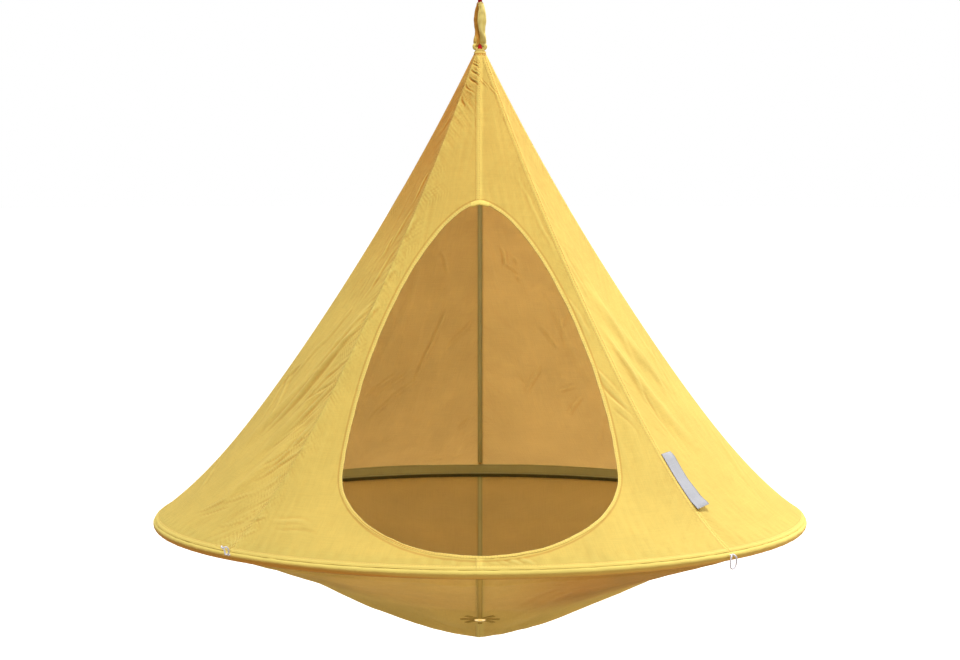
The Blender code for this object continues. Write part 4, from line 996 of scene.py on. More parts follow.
def cut_door(index, angle, share):
    """Move a gore's points beside the door to its cut: the faces that stay, and how far each is."""
    x = (facet_radius(angle, share) * np.sin(angle)).ravel()
    height = height_at(share).ravel()
    gap, nearest = door_distance(x, height, door_outline(180))
    out = (gap >= DOOR_CUT).reshape(angle.shape)
    keep = out[:-1, :-1] | out[1:, :-1] | out[1:, 1:] | out[:-1, 1:]
    move = ~out.ravel() & (gap > -0.02)
    way = unit(nearest[move] - together(x, height)[move])
    spot = nearest[move] + DOOR_CUT * way * np.where(gap[move] < 0.0, 1.0, -1.0)[:, None]
    if index == RIGHT_OF_DOOR:
        spot[:, 0] = np.maximum(spot[:, 0], 1e-5)
    else:
        spot[:, 0] = np.minimum(spot[:, 0], -1e-5)
    share.ravel()[move] = share_at(spot[:, 1])
    angle.ravel()[move] = np.mod(angle_of_x(spot[:, 0], share.ravel()[move]), math.tau)
    return keep, gap.reshape(angle.shape)


def build_gore(index):
    """One gore: a felled strip along one seam, a hem at the rim, creases with painted shade and
    highlight, and the door's cut.
    """
    angle, share = gore_grid(index)
    keep = None
    if index in (RIGHT_OF_DOOR, LEFT_OF_DOOR):
        keep, from_door = cut_door(index, angle, share)
    high = (index + 1 - angle / GORE_ANGLE) * gore_width(share)
    low = (angle / GORE_ANGLE - index) * gore_width(share)
    from_seam = np.minimum(low, high)
    slant, height = slant_at(share), height_at(share)
    from_rim = SLANT - slant
    rise = sizes().strip_rise * STRIP_RISES.get(index, 0.40)
    strip = rise * (1.0 - ease(high, sizes().strip_width - 0.0007, sizes().strip_width + 0.0006))
    hem = 0.7 * sizes().strip_rise * (1.0 - ease(from_rim, 0.0098, 0.0112))
    raised = np.maximum(strip, hem) * ease(slant, 0.0, 0.02)
    tuck = 0.0012 * (1.0 - ease(from_rim, 0.0, 0.005))
    points = canopy_face(angle, share, raised - tuck)
    centre = (angle / GORE_ANGLE - index - 0.5) * gore_width(share)
    seam_row = np.minimum(np.abs(high - SEAM_ROWS[0]), np.abs(high - SEAM_ROWS[1]))
    hem_row = np.abs(from_rim - HEM_ROW)
    # Less of the tape behind the left front seam shows through
    taped = 0.66 * (1.0 - ease(from_seam, 0.0056, 0.0072))
    at_left_seam = {LEFT_SIDE: high, LEFT_OF_DOOR: low}.get(index, 1.0)
    taped = taped * (0.3 + 0.7 * (from_seam < at_left_seam))
    # Painted light: shade in furrows and highlight on ridges, painted shade at the tip, and darker
    # towards the tip, most on the left side gore
    painted_light = 0.50 * folds(points, outward(angle, share)) * ease(from_rim, 0.0, 0.006)
    near_tip = 1.0 - ease(slant, 0.12, 0.22)
    painted_light = np.where(painted_light < 0.0, painted_light * (1.0 + 0.8 * near_tip), painted_light * (1.0 - 0.6 * near_tip))
    painted_light -= 0.8 * (1.0 - ease(slant, 0.0, 0.006))
    painted_light -= (0.80 if index == LEFT_SIDE else 0.24) * ease(height, 0.42, 0.90)
    # Painted shadow lines just outside the door's binding and along the edges of the felled strips
    painted_ditch_shadow = np.zeros(share.shape)
    if keep is not None:
        painted_light = np.where(from_door < 0.010, 0.0, painted_light)
        painted_ditch_shadow = np.clip(from_door - 0.0090, -0.5, 0.5) + 1.0
    if index < LEFT_SIDE:
        painted_ditch_shadow = np.where(high < 0.015, 1.0 + high - 0.0004, painted_ditch_shadow)
    if RIGHT_OF_DOOR < index < LEFT_OF_DOOR:
        painted_ditch_shadow = np.where(low < 0.015, 1.0 + low - 0.0004, painted_ditch_shadow)
    # How much fine crumpling, drawn as relief and as painted shade and highlight, lies beside each seam
    # and under the tip
    amount, reach = {RIGHT_OF_DOOR: (0.20, 0.05), LEFT_OF_DOOR: (0.0, 1.0)}.get(index, (0.30, 0.09))
    near_high = amount * np.exp(-high / reach)
    amount, reach = {LEFT_OF_DOOR: (0.65, 0.018), 1: (0.30, 0.08), RIGHT_OF_DOOR: (0.0, 1.0),
                     LEFT_SIDE: (0.10, 0.05)}.get(index, (0.30, 0.09))
    near_low = amount * np.exp(-low / reach)
    under_tip = 0.55 * ease(height, 0.84, 0.94)
    if index == LEFT_SIDE:
        near_high = 0.75 * np.exp(-high / 0.13) * ease(height, 0.80, 0.55)
        near_high += 0.4 * np.exp(-high / 0.03) + under_tip
    if index == LEFT_OF_DOOR:
        near_low += under_tip
    calm = ease(from_rim, 0.0, 0.02)
    marks = {"stitch": np.clip(np.minimum(seam_row, hem_row), 0.0, 0.02),
             "run": np.where(seam_row < hem_row, slant, centre + 1.0),
             "doubled": np.maximum(taped, np.where(from_rim < 0.011, 0.45, 0.0)),
             "painted_light": painted_light, "painted_ditch_shadow": painted_ditch_shadow, "creased_high": calm * (0.07 + near_high),
             "creased_low": calm * (0.07 + near_low)}
    return sheet_piece("canvas_gore_" + gore_name(index), points, together(centre + 0.9 * index, slant),
                       CLOTH + 0.9 * raised, canvas(), "", [], marks, keep=keep, lining=canvas_inside())


CANOPY_PIECES = {
    "canvas_front_right": (0, 1), "canvas_back_side_right": (2,), "canvas_back_right": (3,),
    "canvas_back_left": (4,), "canvas_back_side_left": (5,), "canvas_front_left": (6, 7),
}


def build_canopy():
    """The eight gores; each front one, cut by the door, is felled to the one beside it."""
    for name, gores in CANOPY_PIECES.items():
        piece = joined([build_gore(index) for index in gores], name)
        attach(piece, "hammock")
        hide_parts(*("gore_" + gore_name(index) for index in gores))


def joined(pieces, name):
    """Several objects made one."""
    start_fresh()
    for item in pieces:
        item.select_set(True)
    bpy.context.view_layer.objects.active = pieces[0]
    bpy.ops.object.join()
    item = bpy.context.object
    item.name = item.data.name = name
    return item


def start_fresh():
    """Leave nothing selected, as before work on a new piece."""
    bpy.ops.object.select_all(action="DESELECT")
    bpy.context.view_layer.objects.active = None


# Tapes, binding and the rim

def build_seam_tapes():
    """A tape inside each seam, folded with the gores beside it and sewn along both edges."""
    last = share_at(BAND_TOP + 0.006)
    across = np.array([-0.0058, -0.0044, -0.0030, -0.0015, 0.0, 0.0015, 0.0030, 0.0044, 0.0058])
    for index in range(GORES):
        stop = share_at(DOOR_TOP + 0.020) if index == 0 else last
        slants = np.linspace(0.003, float(slant_at(stop)), 230)
        share = np.broadcast_to(share_of_slant(slants)[:, None], (len(slants), len(across)))
        width = gore_width(share)
        fit = np.minimum(1.0, (0.5 * width - 0.0012) / across[-1])
        angle = (index + across[None, :] * fit / width) * GORE_ANGLE
        points = canopy_face(angle, share)
        normals = grid_normals(points, False)
        ridge = 1.0 + 0.09 * np.exp(-(across / 0.0012) ** 2)[None, :, None]
        face = points - normals * (CLOTH + 1.6 * GAP) * ridge
        name = "seam_tape_%d" % (45 * index)
        tape = sheet_piece("olive_" + name, face, together(across, slants[:, None]), TAPE_THICKNESS,
                           olive_tape(), "hammock", [name],
                           {"stitch": np.abs(np.abs(across) - 0.0044), "run": slants[:, None]})


def door_places(steps):
    """Places round the door: points of the cloth, its normals, and the ways out along the cloth."""
    outline = door_outline(steps)
    share = share_at(outline[:, 1])
    angle = angle_of_x(outline[:, 0], share)
    points = canopy_face(angle, share)
    around = bare_canopy(angle + 0.004, share) - bare_canopy(angle - 0.004, share)
    down = bare_canopy(angle, share + 0.004) - bare_canopy(angle, share - 0.004)
    normals = unit(np.cross(down, around))
    along = np.roll(points, -3, axis=0) - np.roll(points, 3, axis=0)
    out = unit(np.cross(along, normals))
    return points, normals, out, outline


# Corners of the binding's section in millimetres: out from the door's edge, and off the cloth
BINDING_FACE = ((0.0, -0.50), (0.25, 0.20), (0.9, 0.72), (1.6, 0.74), (2.2, 0.56), (2.8, 0.80),
                (4.2, 0.98), (5.7, 0.84), (6.3, 0.56), (6.9, 0.72), (7.6, 0.66), (8.0, 0.20))
BINDING_BACK = ((8.0, -1.20), (7.5, -1.62), (6.3, -1.40), (4.2, -1.78), (2.2, -1.42), (0.9, -1.66),
                (0.2, -1.15))
BINDING_LAP = ((-3.6, -0.6), (-3.3, 0.5), (-2.4, 1.2), (0.0, 1.5), (3.0, 1.75), (6.0, 1.6), (8.2, 1.3),
               (8.4, 0.7), (8.2, -2.1), (4.0, -2.4), (0.0, -2.3), (-3.3, -1.6))


def build_door_binding():
    """The door's edge, bound in folded canvas with two rows of stitches, its end lapped at the top."""
    steps = 720
    points, normals, out, outline = door_places(steps)
    profile = 0.001 * np.array(BINDING_FACE + BINDING_BACK)
    run = line_lengths(np.vstack([points, points[:1]]))
    place = run[:-1] / run[-1]
    circle = math.tau * place
    swell = 1.0 + 0.10 * np.sin(23.0 * circle) + 0.07 * np.sin(57.0 * circle + 2.0)
    wander = 0.00035 * np.sin(17.0 * circle + 1.0) + 0.00025 * np.sin(41.0 * circle)
    low_left = np.exp(-((outline[:, 0] + 0.17) / 0.10) ** 2 - ((outline[:, 1] - 0.07) / 0.07) ** 2)
    up = profile[None, :, 1] * swell[:, None]
    groove = np.exp(-((profile[:, 0] - 0.0042) / 0.0012) ** 2) * (profile[:, 1] > 0.0)
    up = up - 0.0009 * low_left[:, None] * groove[None, :]
    aside = profile[None, :, 0] + wander[:, None]
    sections = (points[:, None, :] + out[:, None, :] * aside[..., None]
                + normals[:, None, :] * up[..., None])
    stitch = np.minimum(np.abs(profile[:, 0] - 0.0022), np.abs(profile[:, 0] - 0.0063))
    # Painted light: shade on the binding's back and along its outer edge, a highlight on its inner edge,
    # and painted shadow in the groove at the lower left
    binding_painted_light = np.where(profile[:, 1] < 0.0, -0.9, 0.05)
    binding_painted_light = np.where((profile[:, 0] > 0.0072) & (profile[:, 1] > -0.001), -0.4, binding_painted_light)
    binding_painted_light = np.where((profile[:, 0] < 0.0014) & (profile[:, 1] > 0.0), 0.5, binding_painted_light)
    binding_painted_light = binding_painted_light[None, :] - 1.4 * low_left[:, None] * groove[None, :]
    marks = {"stitch": stitch, "run": run[:-1, None], "doubled": 0.7, "painted_light": binding_painted_light}
    loft_piece("canvas_door_binding", sections, run[:-1], line_lengths(profile) + 4.0, canvas(),
               "hammock", ["door_binding"], close_rows=True, marks=marks, sharp=60.0)
    top = np.argsort(-outline[:, 1])[:24]
    near = np.abs(((np.arange(steps) - top[0] + steps // 2) % steps) - steps // 2)
    lap = np.where(near <= 7)[0]
    lap = lap[np.argsort((lap - top[0] + steps // 2) % steps)]
    sections = np.stack([points[lap] + out[lap] * corner_out + normals[lap] * corner_up
                         for corner_out, corner_up in 0.001 * np.array(BINDING_LAP)], axis=1)
    stitch = np.full(sections.shape[:2], 0.02)
    stitch[2], stitch[-3] = 0.0, 0.0
    around = np.arange(len(BINDING_LAP))
    end = loft_piece("canvas_binding_end", sections, line_lengths(points[lap]), around * 0.0024 + 5.0,
                     canvas(), "hammock", [], sharp=50.0,
                     marks={"stitch": stitch, "doubled": 1.0, "run": around * 0.002})


def build_ring_sleeve():
    """The canvas tube round the poles, gathered a little, open at the back for putting them in."""
    rows, sides = 940, 30
    half_mouth = 0.5 * SLEEVE_MOUTH / RING_RADIUS
    angle = np.linspace(math.pi + half_mouth, 3.0 * math.pi - half_mouth, rows)[:, None]
    turn = (math.tau * np.arange(sides) / sides)[None, :]
    cos, sin = np.cos(turn), np.sin(turn)
    radius = SLEEVE_OUTER - 0.00035
    radius = radius + 0.00016 * np.sin(71.0 * angle + 2.0 * turn + np.sin(13.0 * angle))
    radius = radius + 0.00014 * np.sin(131.0 * angle - turn + 2.0 * np.sin(7.0 * angle))
    radius = np.minimum(radius, SLEEVE_FACE / np.maximum(-cos, 0.2))
    radius = np.minimum(radius, SLEEVE_FACE / np.maximum(-sin, 0.2))
    points = rim_point(angle, RING_RADIUS + radius * cos, radius * sin)
    uv = together(turn * SLEEVE_OUTER + 8.0, angle * RING_RADIUS)
    seam = 1.5 * math.pi + 0.42
    # The cloth is in shade underneath, on the left from further up than on the right
    left, right = ease(-np.sin(angle), 0.05, 0.60), ease(np.sin(angle), 0.20, 0.70)
    shade = (0.55 + 0.25 * left) * ease(-sin, -0.45 - 0.25 * left, 0.35 - 0.15 * left)
    painted_light = -0.04 - 0.06 * right - shade
    painted_light = painted_light - (0.4 + 0.6 * left) * ease(-sin, 0.20 - 0.20 * left, 0.85 - 0.15 * left)
    out = rim_point(angle, 1.0, 0.0) * np.array([1.0, 1.0, 0.0])
    normals = cos[..., None] * out + sin[..., None] * np.array([0.0, 0.0, 1.0])
    # Its bends also get painted shade in furrows and painted highlight on ridges
    sleeve = sheet_piece("canvas_ring_sleeve", points, uv, CLOTH, canvas(), "hammock", ["ring_sleeve"],
                         {"stitch": np.abs(turn - seam) * SLEEVE_OUTER, "run": angle * RING_RADIUS,
                          "doubled": 1.0, "painted_light": painted_light + 0.25 * folds(points, normals)},
                         period=math.tau * SLEEVE_OUTER)


def build_rim_band():
    """The olive band inside the rim, upright on the sleeve and leaning in above it."""
    columns = 820
    face = RING_RADIUS - SLEEVE_FACE - GAP
    bend = BAND_UPRIGHT * SLEEVE_FACE
    profile = smooth_line([(face - BAND_LEAN, BAND_TOP), (face - 0.52 * BAND_LEAN, 0.56 * BAND_TOP),
                           (face - 0.05 * BAND_LEAN, bend), (face, -0.2 * SLEEVE_FACE),
                           (face, -SLEEVE_FACE)], 5)
    length = line_lengths(profile)
    angle = (math.tau * np.arange(columns) / columns)[None, :]
    free = ease(length, length[-1] * 0.7, 0.0)[:, None]
    sway = 0.0009 * np.sin(19.0 * angle + np.sin(5.0 * angle)) + 0.0006 * np.sin(47.0 * angle)
    radius = profile[:, 0][:, None] + free * np.minimum(sway - 0.0004, 0.0008)
    height = profile[:, 1][:, None] + free * 0.0006 * np.sin(11.0 * angle + 1.0)
    points = rim_point(angle, radius, height)
    uv = together(angle * RING_RADIUS, length[:, None])
    stitch = np.minimum(np.abs(length - 0.0022), np.abs(length - 0.0245))[:, None]
    # Painted shadow at the band's foot, where it meets the bowl
    shadow = 6.8 * ease(length, length[-1] - 0.0100, length[-1] - 0.0070)[:, None]
    band = sheet_piece("olive_rim_band", points, uv, 0.0010, olive_tape(), "hammock", ["rim_band"],
                       {"painted_light": shadow, "stitch": stitch, "run": angle * RING_RADIUS},
                       period=math.tau * RING_RADIUS)


# The bowl

def bowl_depth(x, y):
    """Depth of the cloth bowl under its edge."""
    edge = RING_RADIUS - 0.1 * SLEEVE_FACE
    reach_y = np.minimum(1.0, np.abs(y) / edge)
    half = edge * np.sqrt(np.maximum(1.0 - reach_y ** 2, BARELY))
    front = FRONT_SLOPE * (y + edge)
    back = BACK_SLOPE * (edge - y)
    middle = 0.5 * (front + back - np.hypot(front - back, 2.0 * BOWL_ROUNDING))
    middle = middle + POCKET_DEPTH * np.exp(-((y - POCKET_PLACE) / POCKET_SPREAD) ** 2)
    middle = np.maximum(middle, 0.0)
    aside = np.minimum(1.0, np.abs(x) / half)
    from_rim = 1.0 - np.hypot(x, y) / edge
    return middle * (1.0 - aside ** 1.5) * np.clip(6.0 * from_rim, 0.0, 1.0)


FLOOR_EDGE = (RING_RADIUS - 0.1 * SLEEVE_FACE, -(SLEEVE_FACE + CLOTH + GAP))


def flat_height(y):
    """Height of the flat patch round the star."""
    return FLOOR_EDGE[1] - bowl_depth(0.0, STAR_PLACE) - STAR_SLOPE * (y - STAR_PLACE)


def floor_height(x, y):
    """Height of the bowl's under face: flat at the star, then the bowl."""
    flat = flat_height(y)
    share = ease(np.hypot(x, y - STAR_PLACE), STAR_FLAT, STAR_BLEND)
    return flat + share * (FLOOR_EDGE[1] - bowl_depth(x, y) - flat)


def bowl_drop(x, y):
    """How far waves, creases and gathers let the bowl's cloth down."""
    radius = np.hypot(x, y)
    from_star = np.hypot(x, y - STAR_PLACE)
    calm = ease(from_star, 0.062, 0.13) * ease(np.abs(x), 0.007, 0.035)
    near_rim = FLOOR_EDGE[0] - radius
    drop = 0.0040 * cloth_noise(x / 0.15, y / 0.21, 21) * ease(near_rim, 0.0, 0.10)
    ripples = cloth_noise((x + 0.4 * y) / 0.06, (y - 0.3 * x) / 0.15, 22)
    drop += 0.0016 * ripples * ease(near_rim, 0.0, 0.06)
    drop += 0.0004 * cloth_noise(x / 0.016, y / 0.05, 23)
    for k, (x_1, y_1, x_2, y_2, wide, stand) in enumerate(BOWL_CREASES):
        run_x, run_y = x_2 - x_1, y_2 - y_1
        length = math.hypot(run_x, run_y)
        along = ((x - x_1) * run_x + (y - y_1) * run_y) / length ** 2
        aside = ((x - x_1) * run_y - (y - y_1) * run_x) / length
        aside = aside + wide * (0.6 * np.sin(4.4 * along + k) - 0.3 * np.sin(9.0 * along))
        taper = np.sin(math.pi * np.clip(along, 0.0, 1.0)) ** 1.2
        ridge = np.exp(-(aside / wide) ** 2)
        furrow = 0.45 * np.exp(-((aside - 1.8 * wide) / (1.2 * wide)) ** 2)
        drop += stand * taper * (ridge - furrow)
    around = np.arctan2(x, -y)
    gathers = np.sin(118.0 * around + 1.6 * np.sin(9.0 * around) + 1.2 * np.sin(23.0 * around))
    drop += 0.0010 * gathers * ease(near_rim, 0.0, 0.012) * np.exp(-near_rim / 0.030)
    beat = y / 0.024 + 0.8 * np.sin(y / 0.05)
    aside = np.abs(x)
    drop += 0.0005 * np.sin(math.tau * beat) * np.exp(-aside / 0.012) * ease(aside, 0.004, 0.012)
    return drop * np.maximum(calm, 0.0) * sizes().crease_depth


def build_floor():
    """Two halves of the bowl, felled together along the middle."""
    for side, name in ((1.0, "right"), (-1.0, "left")):
        around = side * np.concatenate([np.linspace(0.0, 0.03, 8),
                                        np.linspace(0.03, math.pi - 0.03, 236)[1:-1],
                                        np.linspace(math.pi - 0.03, math.pi, 8)])
        rim_x, rim_y = FLOOR_EDGE[0] * np.sin(around), -FLOOR_EDGE[0] * np.cos(around)
        reach = np.hypot(rim_x, rim_y - STAR_PLACE)
        part = np.linspace(0.0, 1.0, 128) ** 0.92
        hole = (EYELET_HOLE + 0.0004) / reach
        t = hole + part[:, None] * (1.0 - hole)
        x, y = rim_x * t, STAR_PLACE + (rim_y - STAR_PLACE) * t
        x = np.where(np.abs(x) < BARELY, side * BARELY, x)
        height = floor_height(x, y) - bowl_drop(x, y)
        points = together(x, y, RING_Z + height)
        near_rim, from_star = FLOOR_EDGE[0] - np.hypot(x, y), np.hypot(x, y - STAR_PLACE)
        seam = np.abs(x)
        # The left half's edge lies under the right one's from the star to the back, with two rows
        strip = 0.0009 * (1.0 - ease(seam, 0.0083, 0.0096)) * (side < 0.0)
        strip = strip * ease(from_star, 0.055, 0.075) * (y > STAR_PLACE)
        points[..., 2] -= strip
        uv = together(x + 0.4, y + 6.0 + 0.35 * height)
        stitch = np.abs(near_rim - 0.004)
        for row in SEAM_ROWS:
            stitch = np.minimum(stitch, np.abs(seam - row) + 0.02 * (side > 0.0))
        run = np.where(near_rim < 0.012, around * FLOOR_EDGE[0] + 9.0, y + 9.0)
        under = np.broadcast_to(np.array([0.0, 0.0, -1.0]), points.shape)
        # Painted light: shade in furrows and highlight on ridges, painted shade towards the front and on
        # the right, and a painted shadow under the rim
        painted_light = 0.4 * folds(points, under) * ease(from_star, 0.02, 0.05)
        painted_light = painted_light - 0.40 + 0.40 * ease(y, -0.20, 0.10)
        painted_light = painted_light - 0.60 * ease(x, 0.02, 0.24) * ease(0.15 - y, 0.0, 0.2)
        painted_light = painted_light - 0.60 * np.exp(-(near_rim / 0.050) ** 2)
        piece = sheet_piece("canvas_bowl_" + name, points, uv, CLOTH + strip, canvas_bowl(), "hammock",
                            ["floor_" + name],
                            {"stitch": np.clip(stitch, 0.0, 0.02), "run": run, "painted_light": painted_light,
                             "creased_high": 0.12, "creased_low": 0.12,
                             "doubled": 0.66 * (1.0 - ease(seam, 0.008, 0.0095))},
                            hint=-side, lining=canvas_floor())


SELVEDGED = np.array([-1.0, -0.92, -0.75, -0.4, 0.0, 0.4, 0.75, 0.92, 1.0])


def facing_down(points):
    """The hint that turns a grid's face down."""
    down, across = points[1, 0] - points[0, 0], points[0, 1] - points[0, 0]
    return 1.0 if np.cross(down, across)[2] < 0.0 else -1.0


def webbing_strip(name, y, half_width, drop, thickness, stands_for, material):
    """Webbing along the bowl's middle seam, over or under its cloth by a drop."""
    across = half_width * SELVEDGED
    x, rows = np.broadcast_arrays(across, y[:, None])
    points = together(x, rows, RING_Z + (floor_height(x, rows) - drop))
    run = line_lengths(points[:, 4])[:, None]
    piece = sheet_piece(name, points, together(across, run), thickness, material, "hammock", stands_for,
                        {"stitch": np.abs(np.abs(across) - 0.75 * half_width), "run": run},
                        hint=facing_down(points))


def build_floor_webbing():
    """Tapes along the bowl's seam, the strap outside in front, and the star's eight arms."""
    over = CLOTH * math.hypot(1.0, BACK_SLOPE) + GAP
    rim = FLOOR_EDGE[0] - 0.012
    for name, start, stop in (("front", STAR_PLACE - STAR_FLAT, -rim),
                              ("back", STAR_PLACE + STAR_FLAT, rim)):
        webbing_strip("olive_bowl_tape_" + name, np.linspace(start, stop, 150), 0.5 * TAPE_WIDTH, -over,
                      TAPE_THICKNESS, ["floor_seam_tape_" + name], olive_tape())
    strap_y = np.linspace(STAR_PLACE - 0.036, 0.010 - FLOOR_EDGE[0], 170)
    webbing_strip("olive_floor_strap", strap_y, 0.44 * STRAP_WIDTH,
                  GAP + WEBBING_THICKNESS * math.hypot(1.0, STAR_SLOPE) + 0.0004, WEBBING_THICKNESS,
                  ["floor_strap"], olive_webbing())
    arms = []
    for k in range(8):
        across = 0.0052 * np.array([-1.0, -0.93, -0.72, -0.35, 0.0, 0.35, 0.72, 0.93, 1.0])
        run, side = np.meshgrid(np.linspace(0.0062, STAR_ARM, 26), across, indexing="ij")
        radius, angle = np.hypot(run, side), k * GORE_ANGLE + np.arctan2(side, run)
        lay = GAP + 0.0011 + 0.00016 * (k % 4) - 0.00025 * ease(run, STAR_ARM - 0.003, STAR_ARM)
        y = STAR_PLACE + radius * np.cos(angle)
        points = together(radius * np.sin(angle), y, RING_Z + flat_height(y) - lay)
        edge_row = np.abs(np.abs(side) - 0.0043)
        end_row = np.abs(run - (STAR_ARM - 0.0032))
        marks = {"stitch": np.minimum(edge_row, end_row),
                 "run": np.where(edge_row < end_row, run, side)}
        arms.append(sheet_piece("arm_%d" % k, points, together(side, run + 0.3 * k), 0.0010,
                                olive_webbing(), "", [], marks, hint=facing_down(points)))
    star = joined(arms, "olive_star")
    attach(star, "hammock")
    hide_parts("floor_star")


# Metal

def turned_ring(name, profile, material, stands_for):
    """A brass ring, extruded from a circle round its (radius, height) profile and set on the slope."""
    start_fresh()
    bpy.ops.mesh.primitive_circle_add(vertices=72, radius=profile[0][0],
                                      location=(0.0, 0.0, profile[0][1]))
    item = bpy.context.object
    item.name = item.data.name = name
    bpy.ops.object.mode_set(mode="EDIT")
    bpy.ops.mesh.select_all(action="SELECT")
    for (r_1, h_1), (r_2, h_2) in zip(profile, profile[1:] + profile[:1]):
        bpy.ops.mesh.extrude_region_move(TRANSFORM_OT_translate={"value": (0.0, 0.0, h_2 - h_1)})
        bpy.ops.transform.resize(value=(r_2 / r_1, r_2 / r_1, 1.0), center_override=(0.0, 0.0, 0.0))
    bpy.ops.mesh.select_all(action="SELECT")
    bpy.ops.mesh.remove_doubles(threshold=0.000001)
    bpy.ops.mesh.normals_make_consistent(inside=False)
    bpy.ops.object.mode_set(mode="OBJECT")
    bpy.ops.object.transform_apply(location=True, rotation=True, scale=True)
    centre = Vector((0.0, STAR_PLACE, RING_Z + float(flat_height(STAR_PLACE))))
    item.data.transform(Matrix.Translation(centre) @ Matrix.Rotation(-math.atan(STAR_SLOPE), 4, "X"))
    item.data.materials.append(material)
    bpy.ops.object.shade_smooth_by_angle(angle=math.radians(45.0))
    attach(item, "hammock")
    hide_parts(*stands_for)


def build_eyelet():
    """The brass eyelet: a rolled flange with its barrel from below, and a washer inside."""
    square = 1.0 / math.hypot(1.0, STAR_SLOPE)
    under = -square * (2.0 * GAP + WEBBING_THICKNESS * math.hypot(1.0, STAR_SLOPE))
    top = square * (CLOTH * math.hypot(1.0, STAR_SLOPE) + GAP)
    outer = EYELET_HOLE * TUBE_CORNER - GAP
    flange = [(EYELET_RADIUS, under), (EYELET_RADIUS + 0.00015, under - 0.00035),
              (EYELET_RADIUS - 0.0003, under - 0.00078), (EYELET_RADIUS - 0.0012, under - 0.00098),
              (0.0100, under - 0.00102), (0.0078, under - 0.00100), (0.0062, under - 0.00088),
              (0.0050, under - 0.00055), (0.0042, under - 0.0001), (0.0036, under + 0.0007),
              (0.0034, under + 0.0016), (0.0034, top), (outer, top), (outer, under)]
    turned_ring("brass_eyelet", flange, brass(), ["eyelet_barrel"])
    washer = [(outer + GAP, top), (outer + GAP, top + 0.0008), (outer + 0.0009, top + 0.00105),
              (0.0085, top + 0.0011), (0.0118, top + 0.00095), (EYELET_RADIUS, top + 0.0005),
              (EYELET_RADIUS, top)]
    turned_ring("brass_washer", washer, brass(), ["eyelet_washer"])


def build_poles():
    """Eight bent tubes end to end in the sleeve, spun from a circle and given their wall."""
    start_fresh()
    bpy.ops.mesh.primitive_circle_add(vertices=28, radius=POLE_RADIUS,
                                      rotation=(0.0, 0.5 * math.pi, 0.0),
                                      location=(0.0, -RING_RADIUS, RING_Z))
    pole = bpy.context.object
    bpy.ops.object.mode_set(mode="EDIT")
    bpy.ops.mesh.select_all(action="SELECT")
    bpy.ops.mesh.spin(steps=20, angle=GORE_ANGLE - GAP / RING_RADIUS, center=(0.0, 0.0, RING_Z),
                      axis=(0.0, 0.0, 1.0))
    bpy.ops.mesh.select_all(action="SELECT")
    bpy.ops.mesh.normals_make_consistent(inside=False)
    bpy.ops.object.mode_set(mode="OBJECT")
    bpy.ops.object.transform_apply(location=True, rotation=True, scale=True)
    wall = pole.modifiers.new("Wall", "SOLIDIFY")
    wall.thickness, wall.offset = POLE_WALL, -1.0
    bpy.ops.object.modifier_apply(modifier="Wall")
    rounding = pole.modifiers.new("Deburred", "BEVEL")
    rounding.width, rounding.segments, rounding.angle_limit = 0.0003, 2, math.radians(60.0)
    bpy.ops.object.modifier_apply(modifier="Deburred")
    bpy.ops.object.shade_smooth_by_angle(angle=math.radians(40.0))
    pole.data.materials.append(aluminium())
    for k in range(POLES):
        tube = pole if k == POLES - 1 else pole.copy()
        if tube is not pole:
            tube.data = pole.data.copy()
            bpy.context.scene.collection.objects.link(tube)
        tube.name = tube.data.name = "pole_tube_%d" % (k + 1)
        tube.data.transform(Matrix.Rotation(k * GORE_ANGLE + 0.5 * GAP / RING_RADIUS, 4, "Z"))
        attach(tube, "hammock")
        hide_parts("ring_pole_%d" % (k + 1))
        spigot = bpy.data.objects["pole_spigot_%d" % (k + 1)]
        spigot.data.materials.clear()
        spigot.data.materials.append(aluminium())


# Cords, label, sling and crown

# Half of each cord loop, which its other half mirrors: out of the rim, height and sideways
HANGING_LOOP = (
    (0.0003, 0.0036, 0.0040), (0.0024, 0.0036, 0.0040), (0.0052, 0.0024, 0.0048),
    (0.0064, -0.0010, 0.00812), (0.0066, -0.0065, 0.00952), (0.0060, -0.0125, 0.01008),
    (0.0054, -0.0190, 0.00924), (0.0050, -0.0240, 0.00644), (0.0048, -0.0262, 0.00252),
)
RAISED_LOOP = (
    (0.0003, 0.0036, 0.0040), (0.0024, 0.0036, 0.0040), (0.0054, 0.0046, 0.0050),
    (0.005766, 0.01292, 0.00713), (0.008556, 0.01786, 0.00805), (0.011532, 0.02128, 0.00782),
    (0.014012, 0.02204, 0.00644), (0.015624, 0.0209, 0.00414), (0.016368, 0.01976, 0.00161),
)


def build_cord_loops():
    """Two short loops of braided cord out of the rim, one hanging and one thrown up."""
    radius = 0.5 * CORD_DIAMETER
    turn = math.tau * np.arange(16) / 16.0
    for name, angle, half, lay in (("right", GORE_ANGLE, HANGING_LOOP, "hanging"),
                                   ("left", -GORE_ANGLE, RAISED_LOOP, "loose")):
        other_half = tuple((out, height, -side) for out, height, side in reversed(half))
        line = smooth_line(half + other_half, 6)
        way = np.array([math.sin(angle), -math.cos(angle), 0.0])
        across = np.array([math.cos(angle), math.sin(angle), 0.0])
        path = ((RING_RADIUS + SLEEVE_FACE + line[:, :1]) * way + line[:, 2:] * across
                + np.array([0.0, 0.0, 1.0]) * (RING_Z + line[:, 1:2]))
        sections = []
        for point, tangent in zip(path, unit(np.gradient(path, axis=0))):
            way = unit(way - tangent * (way @ tangent))
            other = np.cross(tangent, way)
            sections.append(point + radius * (np.cos(turn)[:, None] * way
                                              + np.sin(turn)[:, None] * other))
        length = line_lengths(path)
        cord = loft_piece("cord_loop_piece_" + name, sections, length, radius * turn, braided_cord(),
                          "hammock", ["cord_loop_" + name])


